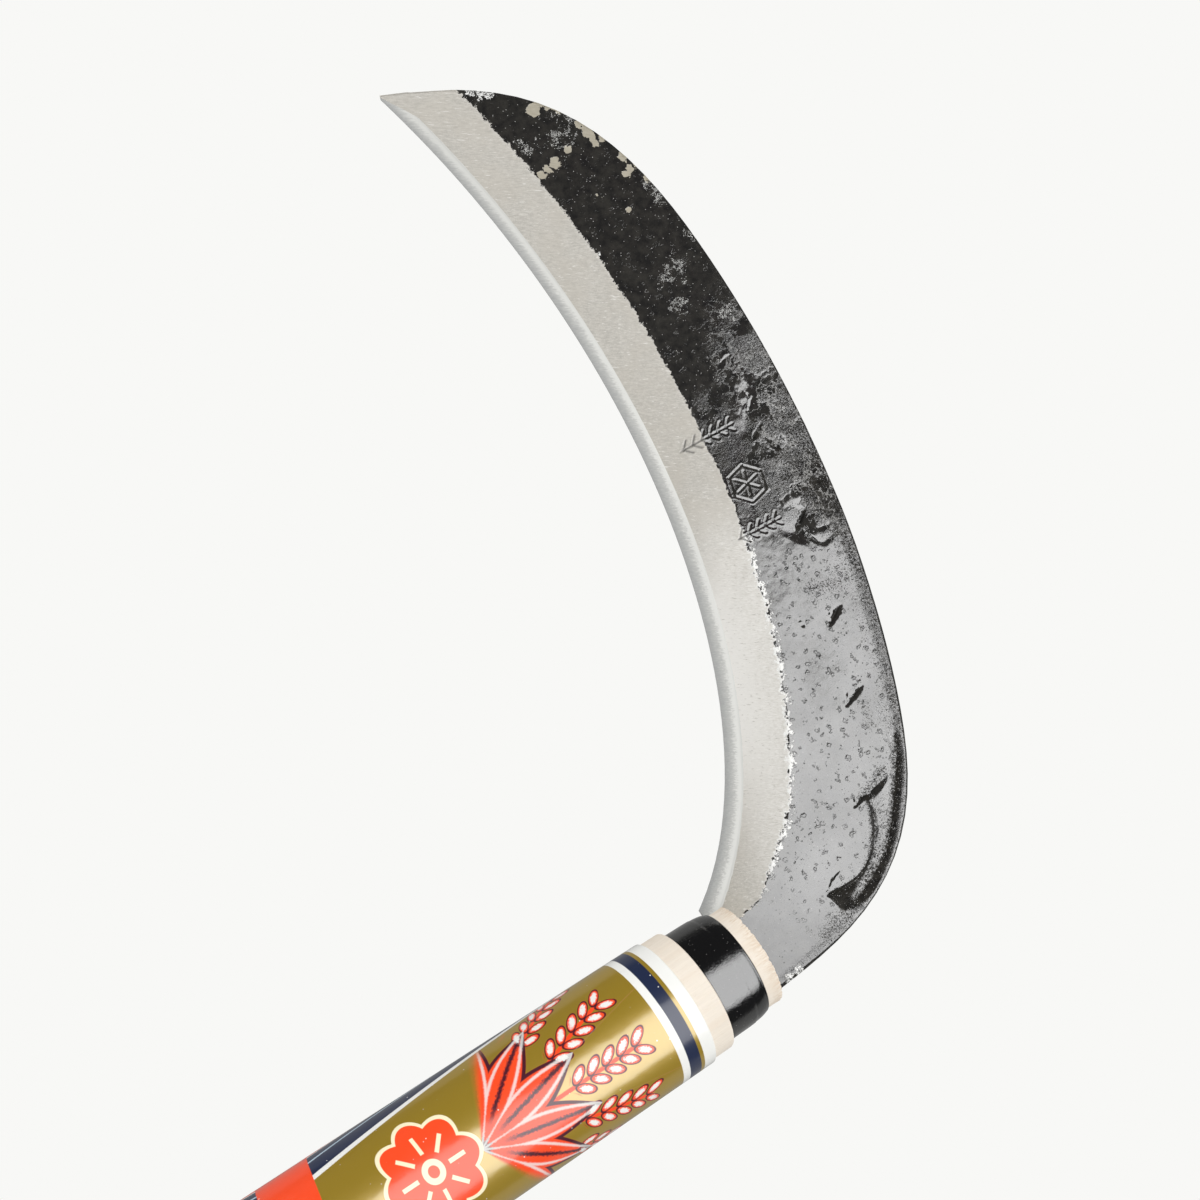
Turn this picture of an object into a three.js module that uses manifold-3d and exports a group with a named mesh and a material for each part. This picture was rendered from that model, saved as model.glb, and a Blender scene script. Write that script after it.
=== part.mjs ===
// Forged hand sickle with a riveted wooden handle. Units are millimetres.
//
// Frame: the origin is the centre of the handle's flat butt face. +X runs along the handle towards the
// blade, +Y is the side that the blade reaches out to, and +Z is the blade's bevelled face.
import * as THREE from 'three';
import { mergeVertices } from 'three/addons/utils/BufferGeometryUtils.js';
import Module from 'manifold-3d';

const wasm = await Module();
wasm.setup();

// ---- driving dimensions -------------------------------------------------------------------------

const HANDLE_LENGTH = 380; // butt face to the front end of the tenon
const OVAL = 0.845; // depth of the handle's oval sections as a share of their width
const ROUND_STEPS = 48; // facets around an oval section
const CORNER_STEPS = 4; // facets of a rounded corner
const WELD_DISTANCE = 1e-5; // points nearer than this are one point

const BUTT_CORNER = 4; // rounding between the butt face and the grip
const BUTT_SWELL_X = 18; // where the grip is widest at the butt
const WAIST_X = 70; // where the grip is thinnest
const BELLY_X = 190; // where the grip is widest in the middle
const BUTT_RADIUS = 17;
const WAIST_RADIUS = 14.3;
const BELLY_RADIUS = 15;
const SHOULDER_RADIUS = 13.45; // half width where the wood steps down to the tenon
const GRIP_TAPER = 1.6; // above 1, the grip narrows mostly near the shoulder
const SHOULDER_CORNER = 0.5;

const TENON_RADIUS = 11.1;
const TENON_CHAMFER = 0.5;
const TENON_FRONT = 3.6; // wood standing out in front of the ferrule
const FERRULE_LENGTH = 10.2;
const FERRULE_BORE = 11.2;
const FERRULE_REAR = 12.4; // half width at the shoulder
const FERRULE_FRONT = 12.1; // half width at the front, before the rounded lip
const FERRULE_LIP = 0.7; // radius of the rounded lip
const BARE_BAND = 5; // bare wood between the ferrule and the label
const LABEL_LENGTH = 170;
const LABEL_GAP = 0.05;
const LABEL_WALL = 0.45;

const BACK_Z = -2.2; // the blade's flat back
const ROOT_THICKNESS = 4.4;
const TIP_THICKNESS = 1.9;
const BEVEL_WIDTH = 12.4; // ground bevel, measured from the cutting edge
const BEVEL_SHARE = 0.8; // near the tip the bevel takes at most this share of the width
const EDGE_THICKNESS = 0.15;
const SPINE_CHAMFER = 0.9;
const CHAMFER_SHARE = 0.1; // and the chamfer at most this one
const CHAMFER_FALL = 0.8; // fall of the front chamfer for its width
const BACK_CHAMFER = 0.4; // size of the back chamfer beside the front one
const STEEL_WIDTH = 12; // hard steel welded along the edge, seen on the back
const STEEL_THICKNESS = 0.95;
const STEEL_SHARE = 0.5; // near the tip the steel takes at most this share of the width
const WELD_GAP = 0.1;
const STEEL_START = 0.006; // share of the blade's length where the steel begins
const IRON_END = 0.972; // share of the blade's length where the soft iron ends
const TIP_END = 0.997;
const TIP_RIDGE = 0.9; // where the solid tip begins to thin towards the spine, as a share of the width
const SECTION_STEP = 0.001; // smallest step between two sections, as a share of the blade's length
const BLADE_STEPS = 56;
const TIP_STEPS = 6;

const HEEL_X = HANDLE_LENGTH - 3.1; // rear end of the blade, just clear of the ferrule
const TANG_LENGTH = 68;
const TANG_EDGE_Y = [8.5, 5.6]; // tang's edge side, at the blade and at its end
const TANG_SPINE_Y = [-9.2, -6.2]; // tang's spine side, at the blade and at its end
const TANG_LAP = 0.2; // how far the tang's blank runs into the blade
const MORTISE_CLEARANCE = 0.3;

const PIN_RADIUS = 1.6;
const PIN_CLEARANCE = 0.1;
const PIN_STEPS = 24;
const PIN_HOLE_LENGTH = 45; // longer than the grip is deep
const PIN_RECESS = 0.15; // pin ends below the wood's surface, under the label
const PIN_Y = -0.4;
const FRONT_PIN_X = HANDLE_LENGTH - 32;
const REAR_PIN_X = HANDLE_LENGTH - 56;

const SHOULDER_X = HANDLE_LENGTH - TENON_FRONT - FERRULE_LENGTH;
const LABEL_FRONT_X = SHOULDER_X - BARE_BAND;
const LABEL_REAR_X = LABEL_FRONT_X - LABEL_LENGTH;

// ---- blade outline: cubic curves measured from the tenon's front end ---------------------------------

const { lerp, smoothstep } = THREE.MathUtils;

function bladeCurve(...points) {
  const [a, b, c, d] = points.map(([x, y]) => new THREE.Vector2(HANDLE_LENGTH + x, y));
  return new THREE.CubicBezierCurve(a, b, c, d);
}

function bladePath(...curves) {
  const path = new THREE.CurvePath();
  curves.forEach((curve) => path.add(curve));
  return path;
}

const TIP = [38.2, 188];
const BULGE = [50.3, 13.9];
const CROWN = [77.5, 127.4];
const cuttingEdge = bladePath(bladeCurve([-3.1, 12.8], [34.6, 34.7], [56, 113.4], TIP));
const spine = bladePath(
  bladeCurve([-3.1, -9.9], [15.6, -8.6], [35.9, -8.3], BULGE),
  bladeCurve(BULGE, [59, 27.2], [77.7, 70.1], CROWN),
  bladeCurve(CROWN, [77.5, 167.1], [60.7, 177.5], TIP),
);

// ---- geometry helpers -----------------------------------------------------------------------------

// Flips the faces of a closed geometry if they point inwards.
function facingOut(geometry) {
  const position = geometry.getAttribute('position');
  const index = geometry.getIndex().array;
  const [a, b, c] = [new THREE.Vector3(), new THREE.Vector3(), new THREE.Vector3()];
  let volume = 0;
  for (let i = 0; i < index.length; i += 3) {
    a.fromBufferAttribute(position, index[i]);
    b.fromBufferAttribute(position, index[i + 1]);
    c.fromBufferAttribute(position, index[i + 2]);
    volume += a.dot(b.cross(c));
  }
  if (volume < 0) {
    geometry.setIndex(Array.from(index).reverse());
  }
  return geometry;
}

// Joins sections of equal point count into one closed body. A section stands upright at `origin`:
// each [d, z] of its outline lies d along the horizontal direction `along` and z above the XY plane.
// Each end is closed by a fan about the middle of its outline.
function loft(sections) {
  const size = sections[0].outline.length;
  const pointOf = ({ origin, along }, [d, z]) => [origin.x + along.x * d, origin.y + along.y * d, z];
  const rings = sections.flatMap((section) => section.outline.map((point) => pointOf(section, point)));
  const ends = [sections[0], sections.at(-1)].map((section) => pointOf(section, middleOf(section.outline)));
  const index = [];
  const lastRing = rings.length - size;
  for (let i = 0; i < size; i++) {
    const next = (i + 1) % size;
    for (let ring = 0; ring < lastRing; ring += size) {
      const [a, b, c, d] = [ring + i, ring + next, ring + size + i, ring + size + next];
      index.push(a, b, c, b, d, c);
    }
    index.push(next, i, rings.length);
    index.push(lastRing + i, lastRing + next, rings.length + 1);
  }
  const geometry = new THREE.BufferGeometry();
  geometry.setAttribute('position', new THREE.Float32BufferAttribute([...rings, ...ends].flat(), 3));
  geometry.setIndex(index);
  return facingOut(geometry);
}

function middleOf(outline) {
  return [0, 1].map((axis) => outline.reduce((sum, point) => sum + point[axis], 0) / outline.length);
}

// Turns a profile of [x, half width] points about the handle's axis, with an oval section.
function ovalTurned(profile) {
  const points = profile.map(([x, radius]) => new THREE.Vector2(radius, x));
  const turned = new THREE.LatheGeometry(points, ROUND_STEPS);
  turned.rotateZ(-Math.PI / 2);
  turned.scale(1, 1, OVAL);
  return facingOut(merged(turned));
}

function merged(geometry) {
  geometry.deleteAttribute('normal');
  geometry.deleteAttribute('uv');
  return mergeVertices(geometry, WELD_DISTANCE);
}

function solidOf(geometry) {
  const clean = merged(geometry);
  return new wasm.Manifold(new wasm.Mesh({
    numProp: 3,
    vertProperties: new Float32Array(clean.getAttribute('position').array),
    triVerts: new Uint32Array(clean.getIndex().array),
  }));
}

function geometryOf(solid) {
  const mesh = solid.getMesh();
  const geometry = new THREE.BufferGeometry();
  geometry.setAttribute('position', new THREE.BufferAttribute(mesh.vertProperties, 3));
  geometry.setIndex(new THREE.BufferAttribute(mesh.triVerts, 1));
  return geometry;
}

// A flat plate with the given outline, lying between the heights zLow and zHigh.
function plate(outline, zLow, zHigh) {
  const shape = new THREE.Shape(outline.map(([x, y]) => new THREE.Vector2(x, y)));
  const geometry = new THREE.ExtrudeGeometry(shape, { depth: zHigh - zLow, bevelEnabled: false });
  return geometry.translate(0, 0, zLow);
}

// A round bar standing along Z, centred on the origin.
function upright(radius, length) {
  return new THREE.CylinderGeometry(radius, radius, length, PIN_STEPS).rotateX(Math.PI / 2);
}

function pinHole(x) {
  return solidOf(upright(PIN_RADIUS + PIN_CLEARANCE, PIN_HOLE_LENGTH).translate(x, PIN_Y, 0));
}

// ---- handle, ferrule and label ----------------------------------------------------------------------

// Half width of the grip at x, from the butt's swell over the waist and belly to the shoulder.
function gripRadius(x) {
  if (x > BELLY_X) {
    const share = (x - BELLY_X) / (SHOULDER_X - BELLY_X);
    return BELLY_RADIUS - (BELLY_RADIUS - SHOULDER_RADIUS) * share ** GRIP_TAPER;
  }
  const waist = lerp(WAIST_RADIUS, BELLY_RADIUS, smoothstep(x, WAIST_X, BELLY_X));
  return lerp(BUTT_RADIUS, waist, smoothstep(x, BUTT_SWELL_X, WAIST_X));
}

function stations(from, to, count) {
  return Array.from({ length: count + 1 }, (_, i) => lerp(from, to, i / count));
}

// Points of a quarter round of the given radius that ends the profile at x, on a half width of `outer`.
function quarterRound(x, outer, radius, towards) {
  return stations(0, Math.PI / 2, CORNER_STEPS).map((angle) => [
    x + towards * radius * (1 - Math.cos(angle)),
    outer - radius * (1 - Math.sin(angle)),
  ]);
}

function handleGeometry() {
  const profile = [
    [0, 0],
    ...quarterRound(0, gripRadius(BUTT_CORNER), BUTT_CORNER, 1),
    ...stations(BUTT_SWELL_X / 2, WAIST_X, 8).map((x) => [x, gripRadius(x)]),
    ...stations(WAIST_X, BELLY_X, 4).slice(1).map((x) => [x, gripRadius(x)]),
    ...stations(BELLY_X, SHOULDER_X - SHOULDER_CORNER - 1, 8).slice(1).map((x) => [x, gripRadius(x)]),
    ...quarterRound(SHOULDER_X, SHOULDER_RADIUS, SHOULDER_CORNER, -1).reverse(),
    [SHOULDER_X, TENON_RADIUS],
    [HANDLE_LENGTH - TENON_CHAMFER, TENON_RADIUS],
    [HANDLE_LENGTH, TENON_RADIUS - TENON_CHAMFER],
    [HANDLE_LENGTH, 0],
  ];
  return geometryOf(solidOf(ovalTurned(profile))
    .subtract(solidOf(mortise()))
    .subtract(pinHole(FRONT_PIN_X))
    .subtract(pinHole(REAR_PIN_X)));
}

// The slot for the tang. In front of the ferrule it is open on the edge side, where the heel rests.
function mortise() {
  const gap = MORTISE_CLEARANCE;
  const past = HANDLE_LENGTH + 1;
  const open = TENON_RADIUS + 2;
  const throat = HEEL_X - 1;
  const end = HEEL_X - TANG_LENGTH - gap;
  const spineSide = spine.getPoint(0).y - gap;
  const outline = [
    [end, TANG_SPINE_Y[1] - gap], [throat, TANG_SPINE_Y[0] - gap], [throat, spineSide], [past, spineSide],
    [past, open], [throat, open], [throat, TANG_EDGE_Y[0] + gap], [end, TANG_EDGE_Y[1] + gap],
  ];
  return plate(outline, BACK_Z - gap, BACK_Z + ROOT_THICKNESS + gap);
}

// The ferrule, with its rear end on the YZ plane.
function ferruleGeometry() {
  return ovalTurned([
    [0, FERRULE_BORE],
    [0, FERRULE_REAR],
    ...quarterRound(FERRULE_LENGTH, FERRULE_FRONT, FERRULE_LIP, -1).reverse(),
    [FERRULE_LENGTH, FERRULE_BORE],
    [0, FERRULE_BORE],
  ]);
}

function labelGeometry() {
  const along = stations(LABEL_REAR_X, LABEL_FRONT_X, 8);
  const inner = along.map((x) => [x, gripRadius(x) + LABEL_GAP]);
  const outer = along.map((x) => [x, gripRadius(x) + LABEL_GAP + LABEL_WALL]).reverse();
  return ovalTurned([...inner, ...outer, inner[0]]);
}

// ---- blade ---------------------------------------------------------------------------------------------

// A rib crosses the blade from the cutting edge to the spine, at the same share of both curves' lengths.
function rib(share) {
  const start = cuttingEdge.getPointAt(share);
  const end = spine.getPointAt(share);
  const width = start.distanceTo(end);
  const thickness = lerp(ROOT_THICKNESS, TIP_THICKNESS, share);
  const slope = (thickness - EDGE_THICKNESS) / BEVEL_WIDTH;
  const bevel = Math.min(BEVEL_WIDTH, BEVEL_SHARE * width);
  return { origin: start, along: end.sub(start).normalize(), width, thickness, slope, bevel };
}

function standing({ origin, along }, outline) {
  return { origin, along, outline: outline.map(([d, height]) => [d, BACK_Z + height]) };
}

function topAt({ slope, thickness }, d) {
  return Math.min(thickness, EDGE_THICKNESS + slope * d);
}

function ironSection(share) {
  const r = rib(share);
  const chamfer = Math.min(SPINE_CHAMFER, CHAMFER_SHARE * r.width);
  const lap = STEEL_THICKNESS + WELD_GAP;
  const steel = Math.min(STEEL_WIDTH, STEEL_SHARE * r.width);
  const laminated = share >= STEEL_START;
  const top = [
    [r.bevel, topAt(r, r.bevel)],
    [r.width - chamfer, topAt(r, r.width - chamfer)],
    [r.width, topAt(r, r.width) - CHAMFER_FALL * chamfer],
    [r.width, BACK_CHAMFER * chamfer],
    [r.width - BACK_CHAMFER * chamfer, 0],
  ];
  const lapped = [[steel + WELD_GAP, 0], [steel + WELD_GAP, Math.min(lap, topAt(r, steel) / 2)]];
  const lapEnd = [[(lapped[1][1] - EDGE_THICKNESS) / r.slope + WELD_GAP / 10, lapped[1][1]]];
  const blunt = EDGE_THICKNESS / 3;
  const plain = [[blunt, 0], [0, blunt], [0, EDGE_THICKNESS]];
  return standing(r, laminated ? [...top, ...lapped, ...lapEnd] : [...top, ...plain]);
}

// The steel is a thin layer under the iron, and makes up the whole blade at the tip.
function steelSection(share) {
  const r = rib(share);
  const layer = Math.min(STEEL_WIDTH, STEEL_SHARE * r.width);
  const height = Math.min(STEEL_THICKNESS, topAt(r, layer) / 2 - WELD_GAP);
  const ridge = TIP_RIDGE * r.width;
  const lap = [[layer, 0], [layer, height], [(height - EDGE_THICKNESS) / r.slope, height]];
  const tip = [[r.width, 0], [r.width, CHAMFER_FALL * topAt(r, r.width)], [ridge, topAt(r, ridge)]];
  return standing(r, [[0, 0], ...(share <= IRON_END ? lap : tip), [0, EDGE_THICKNESS]]);
}

function bladeGeometry() {
  const shares = [0, STEEL_START - SECTION_STEP, ...stations(STEEL_START, IRON_END, BLADE_STEPS)];
  const tangEnd = HEEL_X - TANG_LENGTH;
  const tang = plate([
    [tangEnd, TANG_SPINE_Y[1]], [HEEL_X + TANG_LAP, TANG_SPINE_Y[0]],
    [HEEL_X + TANG_LAP, TANG_EDGE_Y[0]], [tangEnd, TANG_EDGE_Y[1]],
  ], BACK_Z, BACK_Z + ROOT_THICKNESS);
  return geometryOf(solidOf(loft(shares.map(ironSection)))
    .add(solidOf(tang))
    .subtract(pinHole(FRONT_PIN_X))
    .subtract(pinHole(REAR_PIN_X)));
}

function steelGeometry() {
  const lap = stations(STEEL_START, IRON_END, BLADE_STEPS);
  const tip = stations(IRON_END + 2 * SECTION_STEP, TIP_END, TIP_STEPS);
  return loft([...lap, ...tip].map(steelSection));
}

function pinGeometry(x) {
  const halfDepth = OVAL * gripRadius(x) - PIN_RECESS;
  return upright(PIN_RADIUS, 2 * halfDepth);
}

// ---- scene graph -----------------------------------------------------------------------------------------

function finish(color, roughness, metalness) {
  return new THREE.MeshStandardMaterial({ color, roughness, metalness });
}

function piece(name, geometry, material, x = 0, y = 0) {
  geometry.computeVertexNormals();
  const mesh = new THREE.Mesh(geometry, material);
  mesh.name = name;
  mesh.position.set(x, y, 0);
  return mesh;
}

const bareWood = finish(0xf0e2c8, 0.6, 0);
const blackLacquer = finish(0x0c0b0a, 0.12, 0);
const printedFilm = finish(0x82691f, 0.25, 0);
const forgedIron = finish(0x55534f, 0.45, 0.9);
const groundSteel = finish(0xc6c1b8, 0.3, 1);
const pinSteel = finish(0x8c8a86, 0.4, 1);

const handleAssembly = new THREE.Group();
handleAssembly.add(
  piece('handle', handleGeometry(), bareWood),
  piece('ferrule', ferruleGeometry(), blackLacquer, SHOULDER_X),
  piece('label_sleeve', labelGeometry(), printedFilm),
  piece('front_tang_pin', pinGeometry(FRONT_PIN_X), pinSteel, FRONT_PIN_X, PIN_Y),
  piece('rear_tang_pin', pinGeometry(REAR_PIN_X), pinSteel, REAR_PIN_X, PIN_Y),
);

const bladeAssembly = new THREE.Group();
bladeAssembly.add(
  piece('blade_body', bladeGeometry(), forgedIron),
  piece('edge_steel', steelGeometry(), groundSteel),
);

const sickle = new THREE.Group();
sickle.add(handleAssembly, bladeAssembly);

export default sickle;
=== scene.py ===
"""Looks of the forged hand sickle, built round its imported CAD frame.

Lengths that describe the surface are in millimetres, in the row frame, and MM turns them into metres.
"""

import math
from types import SimpleNamespace

import bpy
import numpy as np
from mathutils import Matrix, Vector, noise
from mathutils.bvhtree import BVHTree


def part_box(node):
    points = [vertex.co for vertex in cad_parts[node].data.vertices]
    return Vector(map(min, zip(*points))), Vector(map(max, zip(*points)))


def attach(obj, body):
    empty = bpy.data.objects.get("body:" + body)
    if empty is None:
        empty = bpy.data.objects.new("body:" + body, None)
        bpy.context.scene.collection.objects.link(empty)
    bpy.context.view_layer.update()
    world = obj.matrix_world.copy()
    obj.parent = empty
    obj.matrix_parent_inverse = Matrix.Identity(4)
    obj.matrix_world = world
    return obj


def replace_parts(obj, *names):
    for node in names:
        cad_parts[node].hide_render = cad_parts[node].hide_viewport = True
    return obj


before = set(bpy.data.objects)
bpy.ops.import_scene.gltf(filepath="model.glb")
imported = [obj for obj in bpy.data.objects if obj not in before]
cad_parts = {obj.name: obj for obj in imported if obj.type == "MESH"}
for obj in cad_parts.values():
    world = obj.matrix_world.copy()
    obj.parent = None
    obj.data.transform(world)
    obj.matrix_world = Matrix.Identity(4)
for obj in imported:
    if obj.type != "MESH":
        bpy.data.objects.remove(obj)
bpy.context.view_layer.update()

MM = 0.001

# ---- sizes read from the frame (millimetres) ----


def box_mm(node):
    """The lowest and highest corner of a CAD node's box."""
    return [[value / MM for value in corner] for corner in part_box(node)]


HANDLE_HIGH = box_mm("handle")[1]
FERRULE_LOW, FERRULE_HIGH = box_mm("ferrule")
LABEL_LOW, LABEL_HIGH = box_mm("label_sleeve")
BLADE_LOW, BLADE_HIGH = box_mm("blade_body")
STEEL_HIGH = box_mm("edge_steel")[1]

WOOD_END_X = HANDLE_HIGH[0]
SHOULDER_X = FERRULE_LOW[0]
FERRULE_END_X = FERRULE_HIGH[0]
LABEL_FRONT_X = LABEL_HIGH[0]
LABEL_LENGTH = LABEL_HIGH[0] - LABEL_LOW[0]
OVAL = FERRULE_HIGH[2] / FERRULE_HIGH[1]
BACK_Z = BLADE_LOW[2]
ROOT_THICKNESS = BLADE_HIGH[2] - BLADE_LOW[2]
HEEL_X = FERRULE_END_X + 0.5
TANG_END_X = BLADE_LOW[0]
HEEL_SPINE_Y = -9.9

# ---- sizes of the blade's surface (millimetres) ----

TIP_THICKNESS = 1.9
EDGE_THICKNESS = 0.12
BEVEL_WIDTH = 12.6
HONE_WIDTH_ROOT = 3.7
HONE_WIDTH_TIP = 2.7
STEEL_REACH = 12.0
STEEL_LAYER = 0.9
SEAM = 0.02
GRID_STEP = 0.287
LARGEST_STEP = 2.0
# Ribs stand further apart beyond this turn (radians), where nothing is struck or folded.
PLAIN_FROM = 0.24
PLAIN_STEP = 1.9
# The first part of each rib is plain ground steel and needs few points.
PLAIN_WIDTH = 0.17
PLAIN_POINTS = 0.07
EDGE_POINTS = 14
SPINE_CHAMFER = 0.7
CHAMFER_FALL = 0.8
BACK_CHAMFER = 0.25
# The blade's face is very slightly crowned across a slanting line just below the stamp.
CREST_AT = (48.0, 73.0)
CREST_FALL = 0.55
CREST_HEIGHT = 0.28
CREST_REACH = 12.0
# Swells of the ground faces: share of the bevel's slope, width of the honed strip, height.
SLOPE_WAVE = 0.025
HONE_WAVE = 0.16
GROUND_WAVE = 0.010
# Soot also fills the creases between these depths.
SOOTY_CREASE = (0.10, 0.24)


# ---- small geometry tools ----


def cad_tree(*names):
    """One ray-cast tree over the named CAD nodes, in millimetres."""
    corners, faces = [], []
    for name in names:
        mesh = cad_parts[name].data
        start = len(corners)
        corners += [vertex.co / MM for vertex in mesh.vertices]
        faces += [[start + i for i in polygon.vertices] for polygon in mesh.polygons]
    return BVHTree.FromPolygons(corners, faces)


def hit(tree, origin, direction):
    """Where a ray first meets the tree, or None."""
    point = tree.ray_cast(Vector(origin), Vector(direction))[0]
    return np.array(point) if point else None


def place_object(name, data):
    """A new object in the scene that shows the given data."""
    made = bpy.data.objects.new(name, data)
    bpy.context.scene.collection.objects.link(made)
    return made


def mesh_object(name, points_mm, faces, material, attributes=None, smooth_angle=40):
    """A piece that rides on the one body, with float attributes given per point."""
    mesh = bpy.data.meshes.new(name)
    mesh.from_pydata((np.asarray(points_mm) * MM).tolist(), [], faces)
    for key, values in (attributes or {}).items():
        layer = mesh.attributes.new(key, "FLOAT", "POINT")
        layer.data.foreach_set("value", np.asarray(values, np.float32).ravel())
    mesh.validate()
    mesh.materials.append(material)
    mesh.polygons.foreach_set("use_smooth", [True] * len(mesh.polygons))
    mesh.set_sharp_from_angle(angle=math.radians(smooth_angle))
    piece = place_object(name, mesh)
    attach(piece, "root")
    return piece


def ring_faces(rows, columns, wrap_rows=False):
    """Quads between closed rings of `columns` points. Without wrap_rows one face closes each end."""
    faces = []
    for row in range(rows if wrap_rows else rows - 1):
        a = row * columns
        b = ((row + 1) % rows) * columns
        for i in range(columns):
            j = (i + 1) % columns
            faces.append([a + i, a + j, b + j, b + i])
    if not wrap_rows:
        last = (rows - 1) * columns
        faces.append(list(reversed(range(columns))))
        faces.append([last + i for i in range(columns)])
    return faces


def wave(points, scale, seed, octaves=1):
    """Smooth noise in about -1..1 at each point, with features `scale` mm across."""
    flat = np.asarray(points, float).reshape(-1, points.shape[-1])
    third = flat[:, 2] if flat.shape[1] > 2 else np.zeros(len(flat))
    out = np.zeros(len(flat))
    for k in range(len(flat)):
        p = Vector((flat[k, 0] / scale + seed, flat[k, 1] / scale - seed, third[k] / scale))
        out[k] = noise.fractal(p, 1.0, 2.0, octaves) if octaves > 1 else noise.noise(p)
    return out.reshape(points.shape[:-1])


def mix(a, b, share):
    """a at share 0 and b at share 1."""
    return a + (b - a) * share


def smooth(low, high, value):
    """0 at low, 1 at high, smooth between them. low may be above high."""
    share = np.clip((value - low) / (high - low), 0, 1)
    return share * share * (3 - 2 * share)


def segment_distance(points, start, end):
    """Distance from each point to a segment, and the share of the segment where it is nearest."""
    start, end = np.array(start, float), np.array(end, float)
    span = end - start
    share = np.clip(((points - start) @ span) / (span @ span), 0, 1)
    nearest = start + share[..., None] * span
    return np.linalg.norm(points - nearest, axis=-1), share


# ---- material tools ----


class Value:
    """A number that a node gives at each point. Arithmetic on it adds math nodes."""

    def __init__(self, shader, socket):
        self.shader = shader
        self.socket = socket

    def __add__(self, other):
        return self.shader.math("ADD", self, other)

    def __sub__(self, other):
        return self.shader.math("SUBTRACT", self, other)

    def __rsub__(self, other):
        return self.shader.math("SUBTRACT", other, self)

    def __mul__(self, other):
        return self.shader.math("MULTIPLY", self, other)

    def __truediv__(self, other):
        return self.shader.math("DIVIDE", self, other)

    def __abs__(self):
        return self.shader.math("ABSOLUTE", self)

    __radd__ = __add__
    __rmul__ = __mul__


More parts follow.
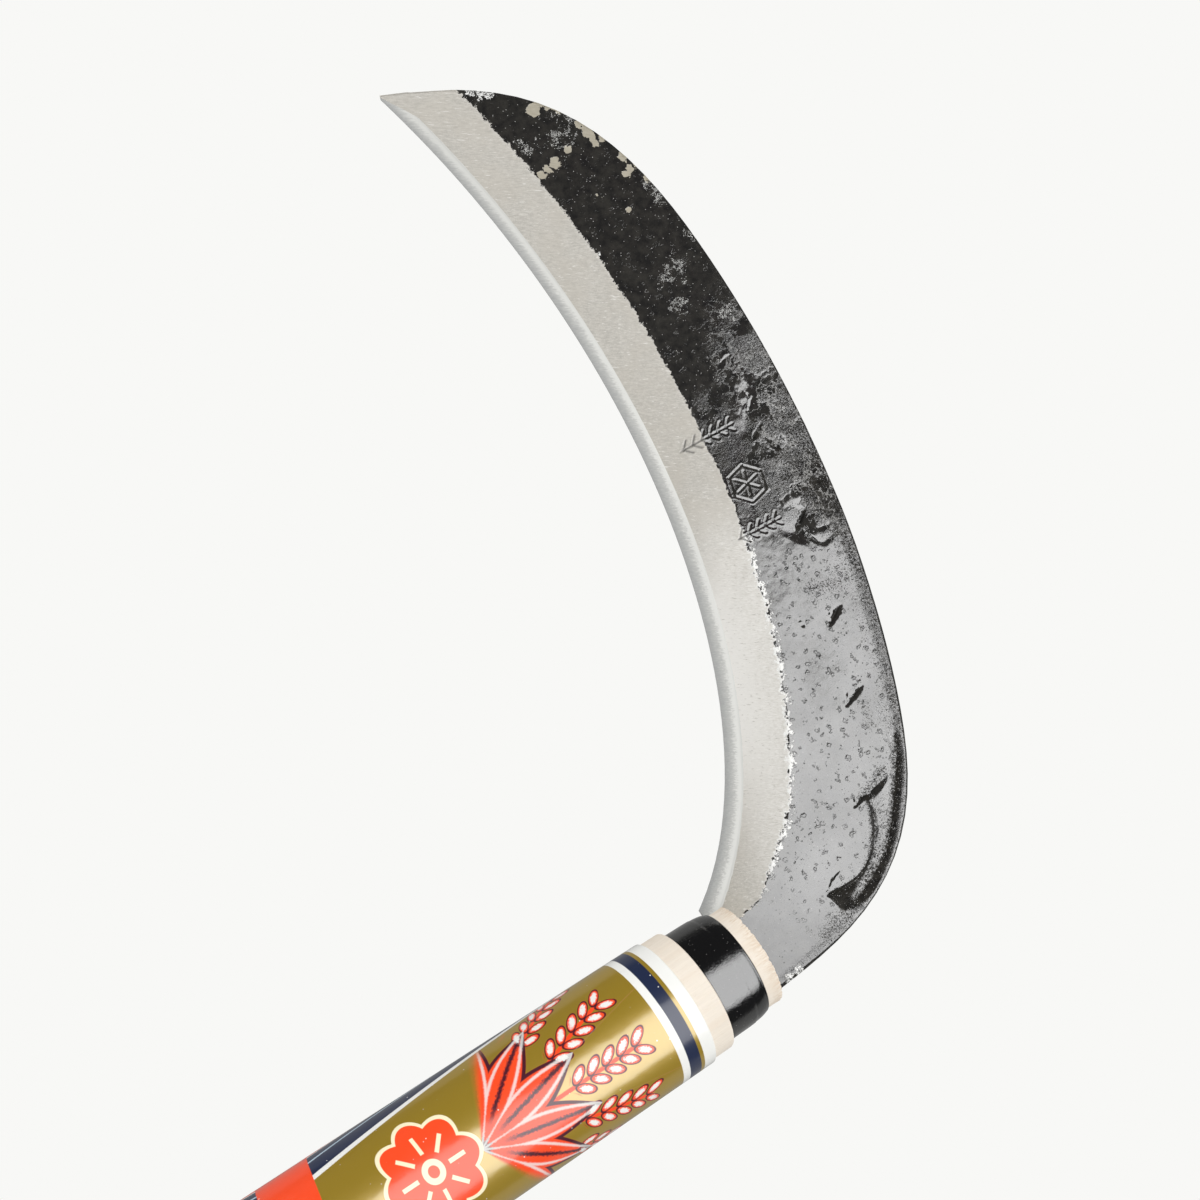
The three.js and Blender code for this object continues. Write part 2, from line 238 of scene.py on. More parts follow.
class Shader:
    """Builds one node material. Most methods add a node and return what the node gives."""

    def __init__(self, name):
        self.material = bpy.data.materials.new(name)
        self.material.use_nodes = True
        self.tree = self.material.node_tree
        self.tree.nodes.clear()
        self.output = self.tree.nodes.new("ShaderNodeOutputMaterial")

    def _set(self, socket, value):
        if isinstance(value, Value):
            value = value.socket
        if isinstance(value, bpy.types.NodeSocket):
            self.tree.links.new(value, socket)
        elif value is not None:
            socket.default_value = value

    def node(self, kind, inputs=None, **settings):
        made = self.tree.nodes.new(kind)
        for key, value in settings.items():
            setattr(made, key, value)
        for key, value in (inputs or {}).items():
            self._set(made.inputs[key], value)
        return made

    def attribute(self, name):
        return Value(self, self.node("ShaderNodeAttribute", attribute_name=name).outputs["Fac"])

    def position(self):
        return self.node("ShaderNodeTexCoord").outputs["Object"]

    def stretched(self, vector, scale, turn=0.0):
        """Coordinates that make a texture `scale` times longer along its own axes, turned about Z."""
        return self.node("ShaderNodeMapping", {
            "Vector": vector, "Scale": scale, "Rotation": (0, 0, turn),
        }, vector_type="TEXTURE").outputs["Vector"]

    def warped(self, vector, per_mm, amount_mm):
        """Coordinates pushed about by a noise, so that round cells turn irregular."""
        push = self.node("ShaderNodeTexNoise", {"Vector": vector, "Scale": per_mm / MM}).outputs["Color"]
        return self.node("ShaderNodeVectorMath", {
            0: push, 1: (amount_mm * MM,) * 3, 2: vector,
        }, operation="MULTIPLY_ADD").outputs["Vector"]

    def noise(self, vector, per_mm, detail=2.0, roughness=0.5, distortion=0.0):
        made = self.node("ShaderNodeTexNoise", {
            "Vector": vector, "Scale": per_mm / MM, "Detail": detail,
            "Roughness": roughness, "Distortion": distortion})
        return Value(self, made.outputs["Fac"])

    def cells(self, vector, per_mm):
        """Distance to the nearest of many scattered points, as a share of the cell size."""
        made = self.node("ShaderNodeTexVoronoi", {"Vector": vector, "Scale": per_mm / MM})
        return Value(self, made.outputs["Distance"])

    def math(self, operation, a, b=0.0, clamp=False):
        made = self.node("ShaderNodeMath", {0: a, 1: b}, operation=operation, use_clamp=clamp)
        return Value(self, made.outputs[0])

    def most(self, first, *others):
        for other in others:
            first = self.math("MAXIMUM", first, other)
        return first

    def step(self, value, low, high):
        """0 below low, 1 above high, smooth between them. low may be above high."""
        made = self.node("ShaderNodeMapRange", {
            "Value": value, "From Min": low, "From Max": high}, interpolation_type="SMOOTHSTEP")
        return Value(self, made.outputs["Result"])

    def span(self, value, low, high, to_low=0.0, to_high=1.0):
        """to_low at low, to_high at high, straight between them and level beyond."""
        made = self.node("ShaderNodeMapRange", {
            "Value": value, "From Min": low, "From Max": high, "To Min": to_low, "To Max": to_high})
        return Value(self, made.outputs["Result"])

    def ramp(self, share, at_none, at_full):
        return self.span(share, 0.0, 1.0, at_none, at_full)

    def near(self, value, centre, outer, inner):
        """1 where the value is within `inner` of the centre, 0 beyond `outer`."""
        return self.step(abs(value - centre), outer, inner)

    def patches(self, vector, per_mm, low, high, detail=2.0, roughness=0.5):
        """1 where a noise is above high, 0 where it is below low."""
        return self.step(self.noise(vector, per_mm, detail, roughness), low, high)

    def dots(self, vector, per_mm, outer, inner):
        """Scattered round dots, as shares of the cell size."""
        return self.step(self.cells(vector, per_mm), outer, inner)

    def blend_value(self, share, a, b):
        made = self.node("ShaderNodeMix", {0: share, 2: a, 3: b}, data_type="FLOAT")
        return Value(self, made.outputs[0])

    def blend(self, share, a, b):
        made = self.node("ShaderNodeMix", data_type="RGBA")
        self._set(made.inputs[0], share)
        self._set(made.inputs[6], rgba(a))
        self._set(made.inputs[7], rgba(b))
        return made.outputs[2]

    def paint(self, colour, *coats):
        """A colour with coats laid over it, each given as where it lies and its colour."""
        for where, coat in coats:
            colour = self.blend(where, colour, coat)
        return colour

    def bump(self, height, distance_mm):
        return self.node("ShaderNodeBump", {
            "Height": height, "Distance": distance_mm * MM}).outputs["Normal"]

    def split(self, vector):
        parts = self.node("ShaderNodeSeparateXYZ", {"Vector": vector}).outputs
        return [Value(self, part) for part in parts]

    def surface(self, **inputs):
        names = {key.replace("_", " ").title().replace("Ior", "IOR"): rgba(value)
                 for key, value in inputs.items()}
        made = self.node("ShaderNodeBsdfPrincipled", names)
        self.tree.links.new(made.outputs[0], self.output.inputs["Surface"])
        return self.material


def rgba(value):
    """A colour of three numbers gets its fourth. Anything else stays as it is."""
    return (*value, 1.0) if isinstance(value, tuple) and len(value) == 3 else value


def srgb(red, green, blue):
    """A colour given by its 0..255 screen values, as linear light."""
    channels = []
    for value in (red, green, blue):
        share = value / 255
        channels.append(share / 12.92 if share <= 0.04045 else ((share + 0.055) / 1.055) ** 2.4)
    return tuple(channels)


# ---- blade: outline and ribs ----


def blade_ribs():
    """Pairs of points, on the cutting edge and on the spine, found by rays from a point behind the edge.

    The point stands straight over the heel, at half the blade's reach, so the first ray runs down the
    heel's end face and the last one meets the tip.
    """
    tree = cad_tree("blade_body", "edge_steel")
    focus = np.array([HEEL_X + 0.02, STEEL_HIGH[1] / 2, BACK_Z + 0.07])
    tip_x = min(vertex.co.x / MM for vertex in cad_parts["edge_steel"].data.vertices
                if vertex.co.y / MM > STEEL_HIGH[1] - 0.05)
    tip_angle = math.atan2(STEEL_HIGH[1] - focus[1], tip_x - focus[0])
    turn = GRID_STEP / (STEEL_HIGH[1] / 2)
    last = tip_angle - 0.0005
    angles = np.r_[np.arange(-math.pi / 2, PLAIN_FROM, turn),
                   np.arange(PLAIN_FROM, last, turn * PLAIN_STEP), last]
    reach = 200.0
    edge, spine = [], []
    for angle in angles:
        direction = np.array([math.cos(angle), math.sin(angle), 0])
        near = hit(tree, focus, direction)
        far = hit(tree, focus + direction * reach, -direction)
        if near is None or far is None:
            continue
        # A ray that slips between two faces comes out far from its neighbour and is left out.
        if edge and np.linalg.norm(near[:2] - edge[-1]) > LARGEST_STEP:
            continue
        edge.append(near[:2])
        spine.append(far[:2])
    return np.array(edge), np.array(spine)


def nearest_on(line, points):
    """For each point: distance to a polyline, share of its length there, whether it lies to its left."""
    lengths = np.r_[0, np.cumsum(np.linalg.norm(np.diff(line, axis=0), axis=1))]
    flat = points.reshape(-1, 2)
    best = np.full(len(flat), 1e9)
    place = np.zeros(len(flat))
    left = np.zeros(len(flat), bool)
    for k in range(len(line) - 1):
        distance, share = segment_distance(flat, line[k], line[k + 1])
        along = line[k + 1] - line[k]
        closer = distance < best
        best[closer] = distance[closer]
        place[closer] = (lengths[k] + share * (lengths[k + 1] - lengths[k]))[closer]
        offset = flat - line[k]
        left[closer] = (along[0] * offset[:, 1] - along[1] * offset[:, 0] > 0)[closer]
    shape = points.shape[:-1]
    return best.reshape(shape), (place / lengths[-1]).reshape(shape), left.reshape(shape)


def root_mm(x, y):
    """A place on the blade, given from the front end of the handle's wood."""
    return np.array([WOOD_END_X + x, y])


def path_mm(path):
    """The same for each place of a path."""
    return np.array([root_mm(*place) for place in path])


# Marks that the forging left, as paths from the wood's front end with a half width and a depth.
# Creases are sharp and deepest in the middle. Folds are soft hollows.
CREASES = (
    (((52.7, 46), (55.8, 47.7), (57.9, 48.8)), 0.99, 0.45),
    (((54.9, 49.7), (54.1, 47.7), (53, 46)), 0.28, 0.13),
    (((45.7, 30.6), (48.8, 31.6), (51.9, 32.6)), 0.8, 0.39),
    (((48.2, 34), (47.4, 32.2), (45.9, 30.7)), 0.28, 0.13),
    (((34.8, 12.6), (38.1, 13.6), (40.5, 12.9)), 0.64, 0.3),
    (((36.3, 16.3), (36, 13.9), (34.8, 12.6)), 0.28, 0.13),
    (((19.3, 1.5), (22.6, 3.2), (25.5, 4.1)), 0.3, 0.18),
    (((19.3, 1.5), (20.5, 0.7), (23.8, 0.3)), 0.72, 0.3),
    (((66.2, 88.8), (64.5, 87.7), (62.2, 86.4)), 0.8, 0.36),
    (((64.6, 86.2), (65.2, 83.7), (66.4, 81.3)), 0.96, 0.33),
    (((63.8, 69.4), (61, 67.5), (58.3, 65.8)), 0.96, 0.45),
    (((60.3, 66), (60.5, 63.3), (61.4, 61.1)), 0.64, 0.27),
    (((48.4, 50.8), (48.2, 49.8), (48.3, 48.7)), 0.31, 0.13),
    (((65.9, 103.3), (67.3, 103.7), (68.9, 103.7)), 0.56, 0.18),
    (((66.5, 96.8), (67.2, 93.8), (64.9, 91.6)), 0.56, 0.18),
)
FOLDS = (
    (((51.8, 27.0), (50.9, 21.1), (49.6, 17.5), (45.9, 13.0), (41.6, 8.0), (37.9, 4.1),
      (35.0, 1.5), (30.8, -0.9), (26.0, -2.9), (21.0, -4.0)), 1.3, 0.42),
    (((36.8, 13.9), (40.3, 13.7), (44.1, 14.4), (46.7, 15.9)), 0.9, 0.24),
    (((56.4, 65.3), (60.4, 67.5), (64.9, 69.4)), 2.4, 0.20),
    (((62.0, 64.3), (65.4, 63.5), (65.3, 61.6), (62.2, 61.1), (60.5, 62.7)), 0.6, 0.06),
    (((67.9, 98.2), (65.0, 91.2), (60.6, 87.1)), 1.6, 0.12),
    (((62.3, 76.2), (66.7, 78.7), (68.6, 84.3)), 1.8, 0.14),
)
# A lap in the iron: it drops along the path and rises again to the left over a width that changes.
LAP = (
    (37.6, 13.6), (38.0, 10.7), (36.6, 7.0), (33.4, 3.4),
    (30.2, 1.3), (27.0, 0.5), (23.3, 0.5), (19.2, 1.2),
)
LAP_WIDTH_START = 1.0
LAP_WIDTH_END = 4.4
LAP_SLOPE = 0.15
LAP_DROP = 0.3

# Sooty places, as paths with a half width and a strength. They mirror less light than the clean skin.
SOOT = (
    (((38.6, 13.0), (38.0, 10.5), (36.0, 6.8), (33.0, 3.2), (28.9, 0.5), (24.8, 0.2), (20.6, 0.9)),
     0.8, 1.0),
    (((34.0, 1.8), (29.6, -0.4), (25.5, -0.6), (22.5, -0.4)), 1.5, 0.60),
    (((31.1, -0.6), (23.4, -3.4), (19.6, -3.9), (14.6, -5.0)), 1.7, 0.50),
    (((39.6, 12.0), (38.2, 7.0), (34.0, 2.4)), 2.6, 0.36),
    (((51.4, 19.8), (45.8, 12.6), (39.2, 5.2), (34.7, 1.2), (29.6, -0.9), (25.0, -3.2)), 0.9, 0.84),
    (((44.5, 15.9), (41.0, 14.4), (38.2, 13.6)), 1.3, 0.7),
    (((64.6, 54.0), (62.4, 46.9), (59.1, 38.9), (56.3, 30.6), (52.6, 23.0)), 2.8, 0.31),
    (((49.6, 30.0), (48.2, 24.9)), 1.5, 0.44),
    (((54.6, 54.4), (59.8, 52.6), (64.6, 53.3)), 3.0, 0.46),
    (((70.0, 74.0), (67.0, 64.0), (64.6, 55.0)), 3.0, 0.46),
)

STAMP_CENTRE = (55.8, 79.6)
STAMP_RADIUS = 4.0
STAMP_LINE = 0.27
STAMP_DEPTH = 0.13
# Each sprig: where its stem starts, how many pairs of barbs it has.
SPRIGS = ((48.6, 92.4, 6), (47.4, 70.9, 5))
BARB_STEP = 2.0


def stamp_strokes():
    """A plain hexagon with a six-armed star, between two chiselled sprigs that run across the blade."""
    centre = root_mm(*STAMP_CENTRE)
    corners = [centre + STAMP_RADIUS * np.array([math.cos(a), math.sin(a)])
               for a in np.radians(np.arange(0, 360, 60) + 12)]
    strokes = [(corners[k], corners[(k + 1) % 6]) for k in range(6)]
    strokes += [(mix(centre, corners[k], 0.66), mix(centre, corners[k + 3], 0.66)) for k in range(3)]
    for x, y, pairs in SPRIGS:
        start = root_mm(x, y)
        strokes.append((start, start + (BARB_STEP * pairs, -0.8)))
        for k in range(pairs):
            root = start + (BARB_STEP * (k + 0.2), -0.16 * k)
            strokes.append((root, root + (1.5, 1.5)))
            strokes.append((root, root + (1.3, -1.5)))
    return strokes


def lap(points):
    """Depth of the long lap near the root, and how far into it each point lies (1 at its sharp line)."""
    distance, along, left = nearest_on(path_mm(LAP), points)
    width = mix(LAP_WIDTH_START, LAP_WIDTH_END, smooth(0.35, 0.7, along))
    width = width * smooth(0.0, 0.12, along) * smooth(1.0, 0.9, along) + 0.01
    rising = np.maximum(0, 1 - distance / np.where(left, width, LAP_DROP))
    return LAP_SLOPE * width * rising, rising


def soot(points):
    """How sooty each point is, 0..1."""
    amount = np.zeros(points.shape[:-1])
    for path, width, strength in SOOT:
        distance = nearest_on(path_mm(path), points)[0]
        amount = np.maximum(amount, strength * np.exp(-(distance / width) ** 2))
    return amount


def worked(points):
    """How much each point belongs to a fold or the lap, 0..1. The skin is grainier there."""
    amount = lap(points)[1]
    path, width, _ = FOLDS[0]
    distance, along, _ = nearest_on(path_mm(path), points)
    band = np.exp(-(distance / (1.7 * width)) ** 2) * smooth(-0.1, 0.1, along)
    return np.maximum(np.sqrt(amount), band)


def creases(points):
    """Depth of the sharp creases at each point, in mm."""
    depth_here = np.zeros(points.shape[:-1])
    ragged = 0.20 * wave(points, 0.8, 2.7)
    for path, width, depth in CREASES:
        distance, along, _ = nearest_on(path_mm(path), points)
        distance = np.maximum(0, distance + ragged)
        wedge = 1.5 * np.power(along, 0.9) * smooth(1.0, 0.62, along)
        depth_here += depth * np.minimum(1, 1.6 * wedge) * np.maximum(
            0, 1 - distance / (width * (0.18 + 0.62 * wedge)))
    return depth_here


def folds(points):
    """Depth of the soft folds and the lap at each point, in mm."""
    depth_here = lap(points)[0]
    for path, width, depth in FOLDS:
        distance, along, _ = nearest_on(path_mm(path), points)
        taper = smooth(0.0, 0.18, along) * smooth(1.0, 0.82, along)
        depth_here += depth * taper * np.exp(-(distance / width) ** 2)
    return depth_here


def scale_relief(points, from_spine, share):
    """Height of the forged skin above its even thickness, in mm."""
    middle = smooth(0.385, 0.42, share) * smooth(0.57, 0.49, share)
    middle = middle * mix(0.25, 1.0, smooth(16.0, 7.0, from_spine))
    height = 0.05 * wave(points, 14.0, 3.1)
    height += (0.006 + 0.060 * middle) * wave(points, 4.2, 8.3)
    height += (0.003 + 0.030 * middle) * wave(points, 1.5, 5.7, 2)
    pitted = smooth(4.0, 0.5, from_spine) * mix(0.3, 1.0, smooth(0.62, 0.48, share))
    height += 0.02 * pitted * wave(points, 1.0, 12.4, 2)
    lower = smooth(0.50, 0.30, share)
    height -= 0.10 * lower * np.maximum(0, 1 - from_spine / 1.6) ** 2
    return height - folds(points)


def struck(points):
    """Height change made by the stamp and the chiselled sprigs, and where their grooves are (0..1)."""
    height = np.zeros(points.shape[:-1])
    groove = np.zeros(points.shape[:-1])
    for start, end in stamp_strokes():
        distance, _ = segment_distance(points, start, end)
        cut_here = smooth(STAMP_LINE, 0.3 * STAMP_LINE, distance)
        height -= STAMP_DEPTH * cut_here
        height += 0.03 * np.exp(-((distance - 1.6 * STAMP_LINE) / 0.15) ** 2)
        groove = np.maximum(groove, cut_here)
    return height, groove


# Where the scale has flaked to brownish iron, and to bright metal: centre from the wood's end, radius.
FLAKES = (
    (63.9, 168.4, 1.3), (65.9, 168.7, 0.9), (67.1, 167.5, 0.9), (68.3, 165.9, 0.8), (70.5, 161.1, 0.9),
    (70.9, 159.3, 0.9), (71.2, 157.7, 0.9), (70.9, 155.5, 0.8), (72.4, 155.8, 0.7), (65.1, 157.3, 0.7),
    (61.1, 156.4, 1.1), (59.1, 155.8, 0.8), (57.1, 155.7, 0.8), (55.1, 155.2, 0.8), (74.4, 150.4, 0.8),
    (73.9, 147.5, 0.9), (72.7, 146.9, 0.7), (75.3, 147.3, 0.6), (75.7, 144, 0.6), (65.2, 146.2, 0.35),
    (68.6, 140.2, 0.4),
)
SILVER = (
    (56.2, 176.8, 1.1), (57.8, 175.5, 0.7), (54.7, 178.2, 0.8), (6.0, -8.2, 0.9), (3.6, -8.8, 0.8),
)
# Where a painted sparkle lies: bright squiggles of light in the bare metal's colour. Centre from the wood's
# end, radius.
SPARKLE = (
    (66.9, 164, 1.8), (69.3, 163.3, 1.6), (64.2, 161, 1.6), (66.4, 159.3, 1.6), (57.5, 163, 1.8),
    (58.9, 161.2, 1.4), (69.3, 124.7, 2.6), (66.2, 123.2, 2.2), (65.9, 118, 2), (76.2, 129, 1.4),
    (75.9, 142.4, 1.6), (75.6, 139.4, 1.6), (72.7, 111.3, 2),
)


def inside_spots(points, spots):
    """How deep each point lies inside the nearest of the round spots, in mm. Negative outside."""
    best = np.full(points.shape[:-1], -20.0)
    for x, y, radius in spots:
        best = np.maximum(best, radius - np.linalg.norm(points - root_mm(x, y), axis=-1))
    return best


def blade_surface(points, edge_line, spine_line, share):
    """Height of the bevelled face over the flat back, with what the material needs to know."""
    from_edge, edge_share, _ = nearest_on(edge_line, points)
    from_spine = nearest_on(spine_line, points)[0]
    thickness = mix(ROOT_THICKNESS, TIP_THICKNESS, share)
    slope = (thickness - EDGE_THICKNESS) / BEVEL_WIDTH
    forward = points[..., 0] - WOOD_END_X
    slope = slope * (1 + 0.25 * smooth(26, 7, forward) + 0.5 * smooth(8, 0, forward))
    slope = slope * (1 + SLOPE_WAVE * wave(points, 5.0, 17.0, 3))
    hone = mix(HONE_WIDTH_ROOT, HONE_WIDTH_TIP, smooth(0.45, 0.95, edge_share))
    hone = hone + HONE_WAVE * wave(points, 11.0, 21.0)
    inside = np.clip(from_edge / hone, 0, 1)
    ground = EDGE_THICKNESS + slope * from_edge
    ground -= 0.05 * (1 - inside) ** 2 * inside
    ground += GROUND_WAVE * wave(points, 6.0, 31.0)
    creased = creases(points)
    forged = thickness + scale_relief(points, from_spine, share) - creased
    over = ground - forged
    beyond = points - root_mm(*CREST_AT)
    across_crest = (beyond[..., 1] + CREST_FALL * beyond[..., 0]) / math.hypot(1, CREST_FALL)
    crest = CREST_HEIGHT * np.exp(-(across_crest / CREST_REACH) ** 2)
    strike, groove = struck(points)
    top = np.minimum(ground, forged) + strike + crest * smooth(0.0, 6.0, from_edge)
    chamfer = SPINE_CHAMFER * mix(1.0, 0.5, smooth(0.02, 0.12, share))
    top = top - np.maximum(0, chamfer - from_spine) * CHAMFER_FALL
    return {
        "top": np.maximum(top, EDGE_THICKNESS * 0.6),
        "edge_mm": from_edge,
        "hone_share": from_edge / hone,
        "spine_mm": from_spine,
        "over_mm": over,
        "share": share,
        "flake_mm": inside_spots(points, FLAKES),
        "silver_mm": inside_spots(points, SILVER),
        "sparkle": smooth(-2.5, 1.5, inside_spots(points, SPARKLE)),
        "worked": worked(points),
        "soot": np.maximum(soot(points), smooth(*SOOTY_CREASE, creased)),
        "groove": groove,
    }


class BladeRibs:
    """The blade's ribs, with the places along them where its metals meet."""

    def __init__(self):
        self.edge, self.spine = blade_ribs()
        lengths = np.r_[0, np.cumsum(np.linalg.norm(np.diff(self.edge, axis=0), axis=1))]
        self.share = lengths / lengths[-1]
        self.width = np.linalg.norm(self.spine - self.edge, axis=1)
        self.along = (self.spine - self.edge) / self.width[:, None]
        tangent = np.gradient(self.edge, axis=0)
        tangent /= np.linalg.norm(tangent, axis=1)[:, None]
        square = np.abs(self.along[:, 0] * tangent[:, 1] - self.along[:, 1] * tangent[:, 0])
        square = np.maximum(square, 0.4)
        hone = mix(HONE_WIDTH_ROOT, HONE_WIDTH_TIP, self.share)
        self.line = np.minimum(hone / square, 0.45 * self.width)
        self.reach = np.minimum(STEEL_REACH / square, 0.55 * self.width)

    def front(self, start, end, steps):
        """Points of the bevelled face between two distances along each rib, with their surface data."""
        t = np.linspace(0, 1, steps)
        if steps > EDGE_POINTS:
            t = np.interp(t, (0, PLAIN_POINTS, 1), (0, PLAIN_WIDTH, 1))
        distance = start[:, None] + (end - start)[:, None] * t[None, :]
        points = self.edge[:, None, :] + self.along[:, None, :] * distance[..., None]
        shares = np.repeat(self.share[:, None], steps, 1)
        return points, blade_surface(points, self.edge, self.spine, shares)

    def row(self, distance, z):
        """One point on each rib, at the given distance from the edge and height."""
        points = self.edge + self.along * distance[:, None]
        heights = np.broadcast_to(z, (len(points),))
        return np.concatenate([points, heights[:, None]], 1)[:, None, :]


def blade_rings(face, rows):
    """Closed rings from the points of the bevelled face and the lower rows, with their surface data."""
    points, data = face
    lower = np.concatenate(rows, 1)
    upper = np.concatenate([points, (BACK_Z + data["top"])[..., None]], 2)
    padded = {key: np.concatenate([data[key], np.repeat(data[key][:, -1:], lower.shape[1], 1)], 1)
              for key in data if key != "top"}
    padded["face"] = np.concatenate([np.ones_like(data["top"]), np.zeros(lower.shape[:2])], 1)
    return np.concatenate([upper, lower], 1), padded


def blade_piece(name, rings, data, material):
    faces = ring_faces(len(rings), rings.shape[1])
    return mesh_object(name, rings.reshape(-1, 3), faces, material, data, smooth_angle=50)


def tang_rings(heel, across):
    """Rings of the hidden tang, from its end to the blade's heel, spread like the heel's own ring."""
    t = (heel[:, 1].max() - heel[:, 1]) / np.ptp(heel[:, 1])
    is_front = np.arange(len(heel)) < across
    z = np.where(is_front, BACK_Z + ROOT_THICKNESS, np.where(t < 0.95, BACK_Z, heel[:, 2]))
    tree = cad_tree("blade_body")
    made = []
    for x in (TANG_END_X + 0.01, HEEL_X - 0.02):
        probe = min(x, HEEL_X - 1)
        edge_y = hit(tree, (probe, 50, 0), (0, -1, 0))[1]
        spine_y = hit(tree, (probe, -50, 0), (0, 1, 0))[1]
        made.append(np.stack([np.full(len(heel), x), mix(edge_y, spine_y, t), z], 1))
    return np.array(made)


def iron_piece(ribs, face, layer_z, material):
    """The soft iron: the bevelled face, the spine, the back, the seat for the steel and the tang."""
    spine_top = face[1]["top"][:, -1]
    back_end = ribs.width - BACK_CHAMFER * np.minimum(1, ribs.width / 5)
    rows = [ribs.row(ribs.width, BACK_Z + k * spine_top) for k in (0.66, 0.33)]
    rows += [ribs.row(back_end, BACK_Z)]
    rows += [ribs.row(mix(ribs.width, ribs.reach, k), BACK_Z) for k in (0.2, 0.4, 0.6, 0.8, 1.0)]
    rows += [ribs.row(ribs.reach, layer_z), ribs.row(mix(ribs.reach, ribs.line, 0.5), layer_z)]
    rings, data = blade_rings(face, rows)
    tang = tang_rings(rings[0], face[0].shape[1])
    rings = np.concatenate([tang, rings], 0)
    data = {key: np.concatenate([np.repeat(value[:1], len(tang), 0), value], 0)
            for key, value in data.items()}
    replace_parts(blade_piece("blade_iron", rings, data, material), "blade_body")


def steel_piece(ribs, top_z, material):
    """The hard steel along the edge. It reaches back under the iron."""
    face = ribs.front(np.zeros(len(ribs.edge)), ribs.line - SEAM, EDGE_POINTS)
    reach = ribs.reach - SEAM
    rows = [ribs.row(mix(ribs.line, ribs.reach, 0.5), top_z), ribs.row(reach, top_z)]
    rows += [ribs.row(reach * k, BACK_Z) for k in (1.0, 0.75, 0.5, 0.25, 0.08, 0.0)]
    rings, data = blade_rings(face, rows)
    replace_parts(blade_piece("blade_edge", rings, data, material), "edge_steel")


def blade_pieces(materials):
    """Both metals of the blade. The steel lies a seam's width under the iron."""
    ribs = BladeRibs()
    face = ribs.front(ribs.line, ribs.width, int(np.median(ribs.width) / GRID_STEP))
    layer_z = BACK_Z + np.minimum(STEEL_LAYER, 0.6 * face[1]["top"][:, 0])
    iron_piece(ribs, face, layer_z, materials["iron"])
    steel_piece(ribs, layer_z - SEAM, materials["steel"])


# ---- handle, ferrule and label ----

# Facets round the handle and the ferrule, and sizes in millimetres.
HANDLE_STEPS = 176
FERRULE_STEPS = 192
BUTT_CORNER = 4.0
SHOULDER_CORNER = 0.55
TENON_CORNER = 0.28
GRAIN_DEPTH = 0.03
TORN_DEPTH = 0.28
MORTISE_GAP = 0.3
FERRULE_WALL = 1.15
FERRULE_TAPER = 0.25
FERRULE_CROWN = 0.30
LIP_LENGTH = 3.4
LIP_DROP = 0.62
FILM_WALL = 0.42
FILM_GAP = 0.06


def turned_rings(profile, steps, dent=None):
    """Rings about the handle's axis for [x, half width] points, on the handle's oval section."""
    profile = np.asarray(profile, float)
    # Counted backwards, so that faces between rings that run towards the blade look outwards.
    angles = np.linspace(0, -2 * math.pi, steps, endpoint=False)
    x = np.repeat(profile[:, :1], steps, 1)
    radius = np.repeat(profile[:, 1:], steps, 1)
    ring = np.repeat(angles[None, :], len(profile), 0)
    if dent is not None:
        x, radius = dent(x, radius, ring)
    return np.stack([x, radius * np.sin(ring), radius * OVAL * np.cos(ring)], 2)


def ring_wave(x, ring, scale_x, scale_ring, seed, octaves=1):
    """Smooth noise that closes on itself round the handle. scale_ring is a share of the radius."""
    points = np.stack([x / scale_x, np.sin(ring) / scale_ring, np.cos(ring) / scale_ring], -1)
    return wave(points, 1.0, seed, octaves)


def arc(x, outer, long, deep, towards, steps=6):
    """A quarter round that leads from the end face at x to the half width `outer`."""
    return [(x + towards * long * (1 - math.cos(a)), outer - deep * (1 - math.sin(a)))
            for a in np.linspace(0, math.pi / 2, steps)]


def turned_piece(name, profile, steps, dent, material, tube=False):
    """A turned piece from its profile. A tube's profile closes on itself."""
    rings = turned_rings(profile, steps, dent)
    return mesh_object(name, rings.reshape(-1, 3), ring_faces(len(rings), steps, tube), material)


def grip_radius():
    """A function that gives the CAD handle's half width at x, found by rays from its spine side."""
    tree = cad_tree("handle")
    stations = np.arange(0.5, WOOD_END_X, 0.5)
    table = [-hit(tree, (x, -60, 0), (0, 1, 0))[1] for x in stations]
    return lambda x: float(np.interp(x, stations, table))


def cut(piece, cutters):
    """Cuts solids out of a piece and keeps the result as its mesh."""
    for cutter in cutters:
        modifier = piece.modifiers.new("cut", "BOOLEAN")
        modifier.operation = "DIFFERENCE"
        modifier.solver = "EXACT"
        modifier.object = cutter
    graph = bpy.context.evaluated_depsgraph_get()
    result = bpy.data.meshes.new_from_object(piece.evaluated_get(graph))
    piece.modifiers.clear()
    piece.data = result
    for cutter in cutters:
        bpy.data.objects.remove(cutter)


def block(outline, low, high):
    """A plain prism in millimetres, used only as a cutter."""
    count = len(outline)
    points = [(x * MM, y * MM, z * MM) for z in (low, high) for x, y in outline]
    faces = [list(reversed(range(count))), [count + i for i in range(count)]]
    faces += [[i, (i + 1) % count, count + (i + 1) % count, count + i] for i in range(count)]
    mesh = bpy.data.meshes.new("cutter")
    mesh.from_pydata(points, [], faces)
    return place_object("cutter", mesh)


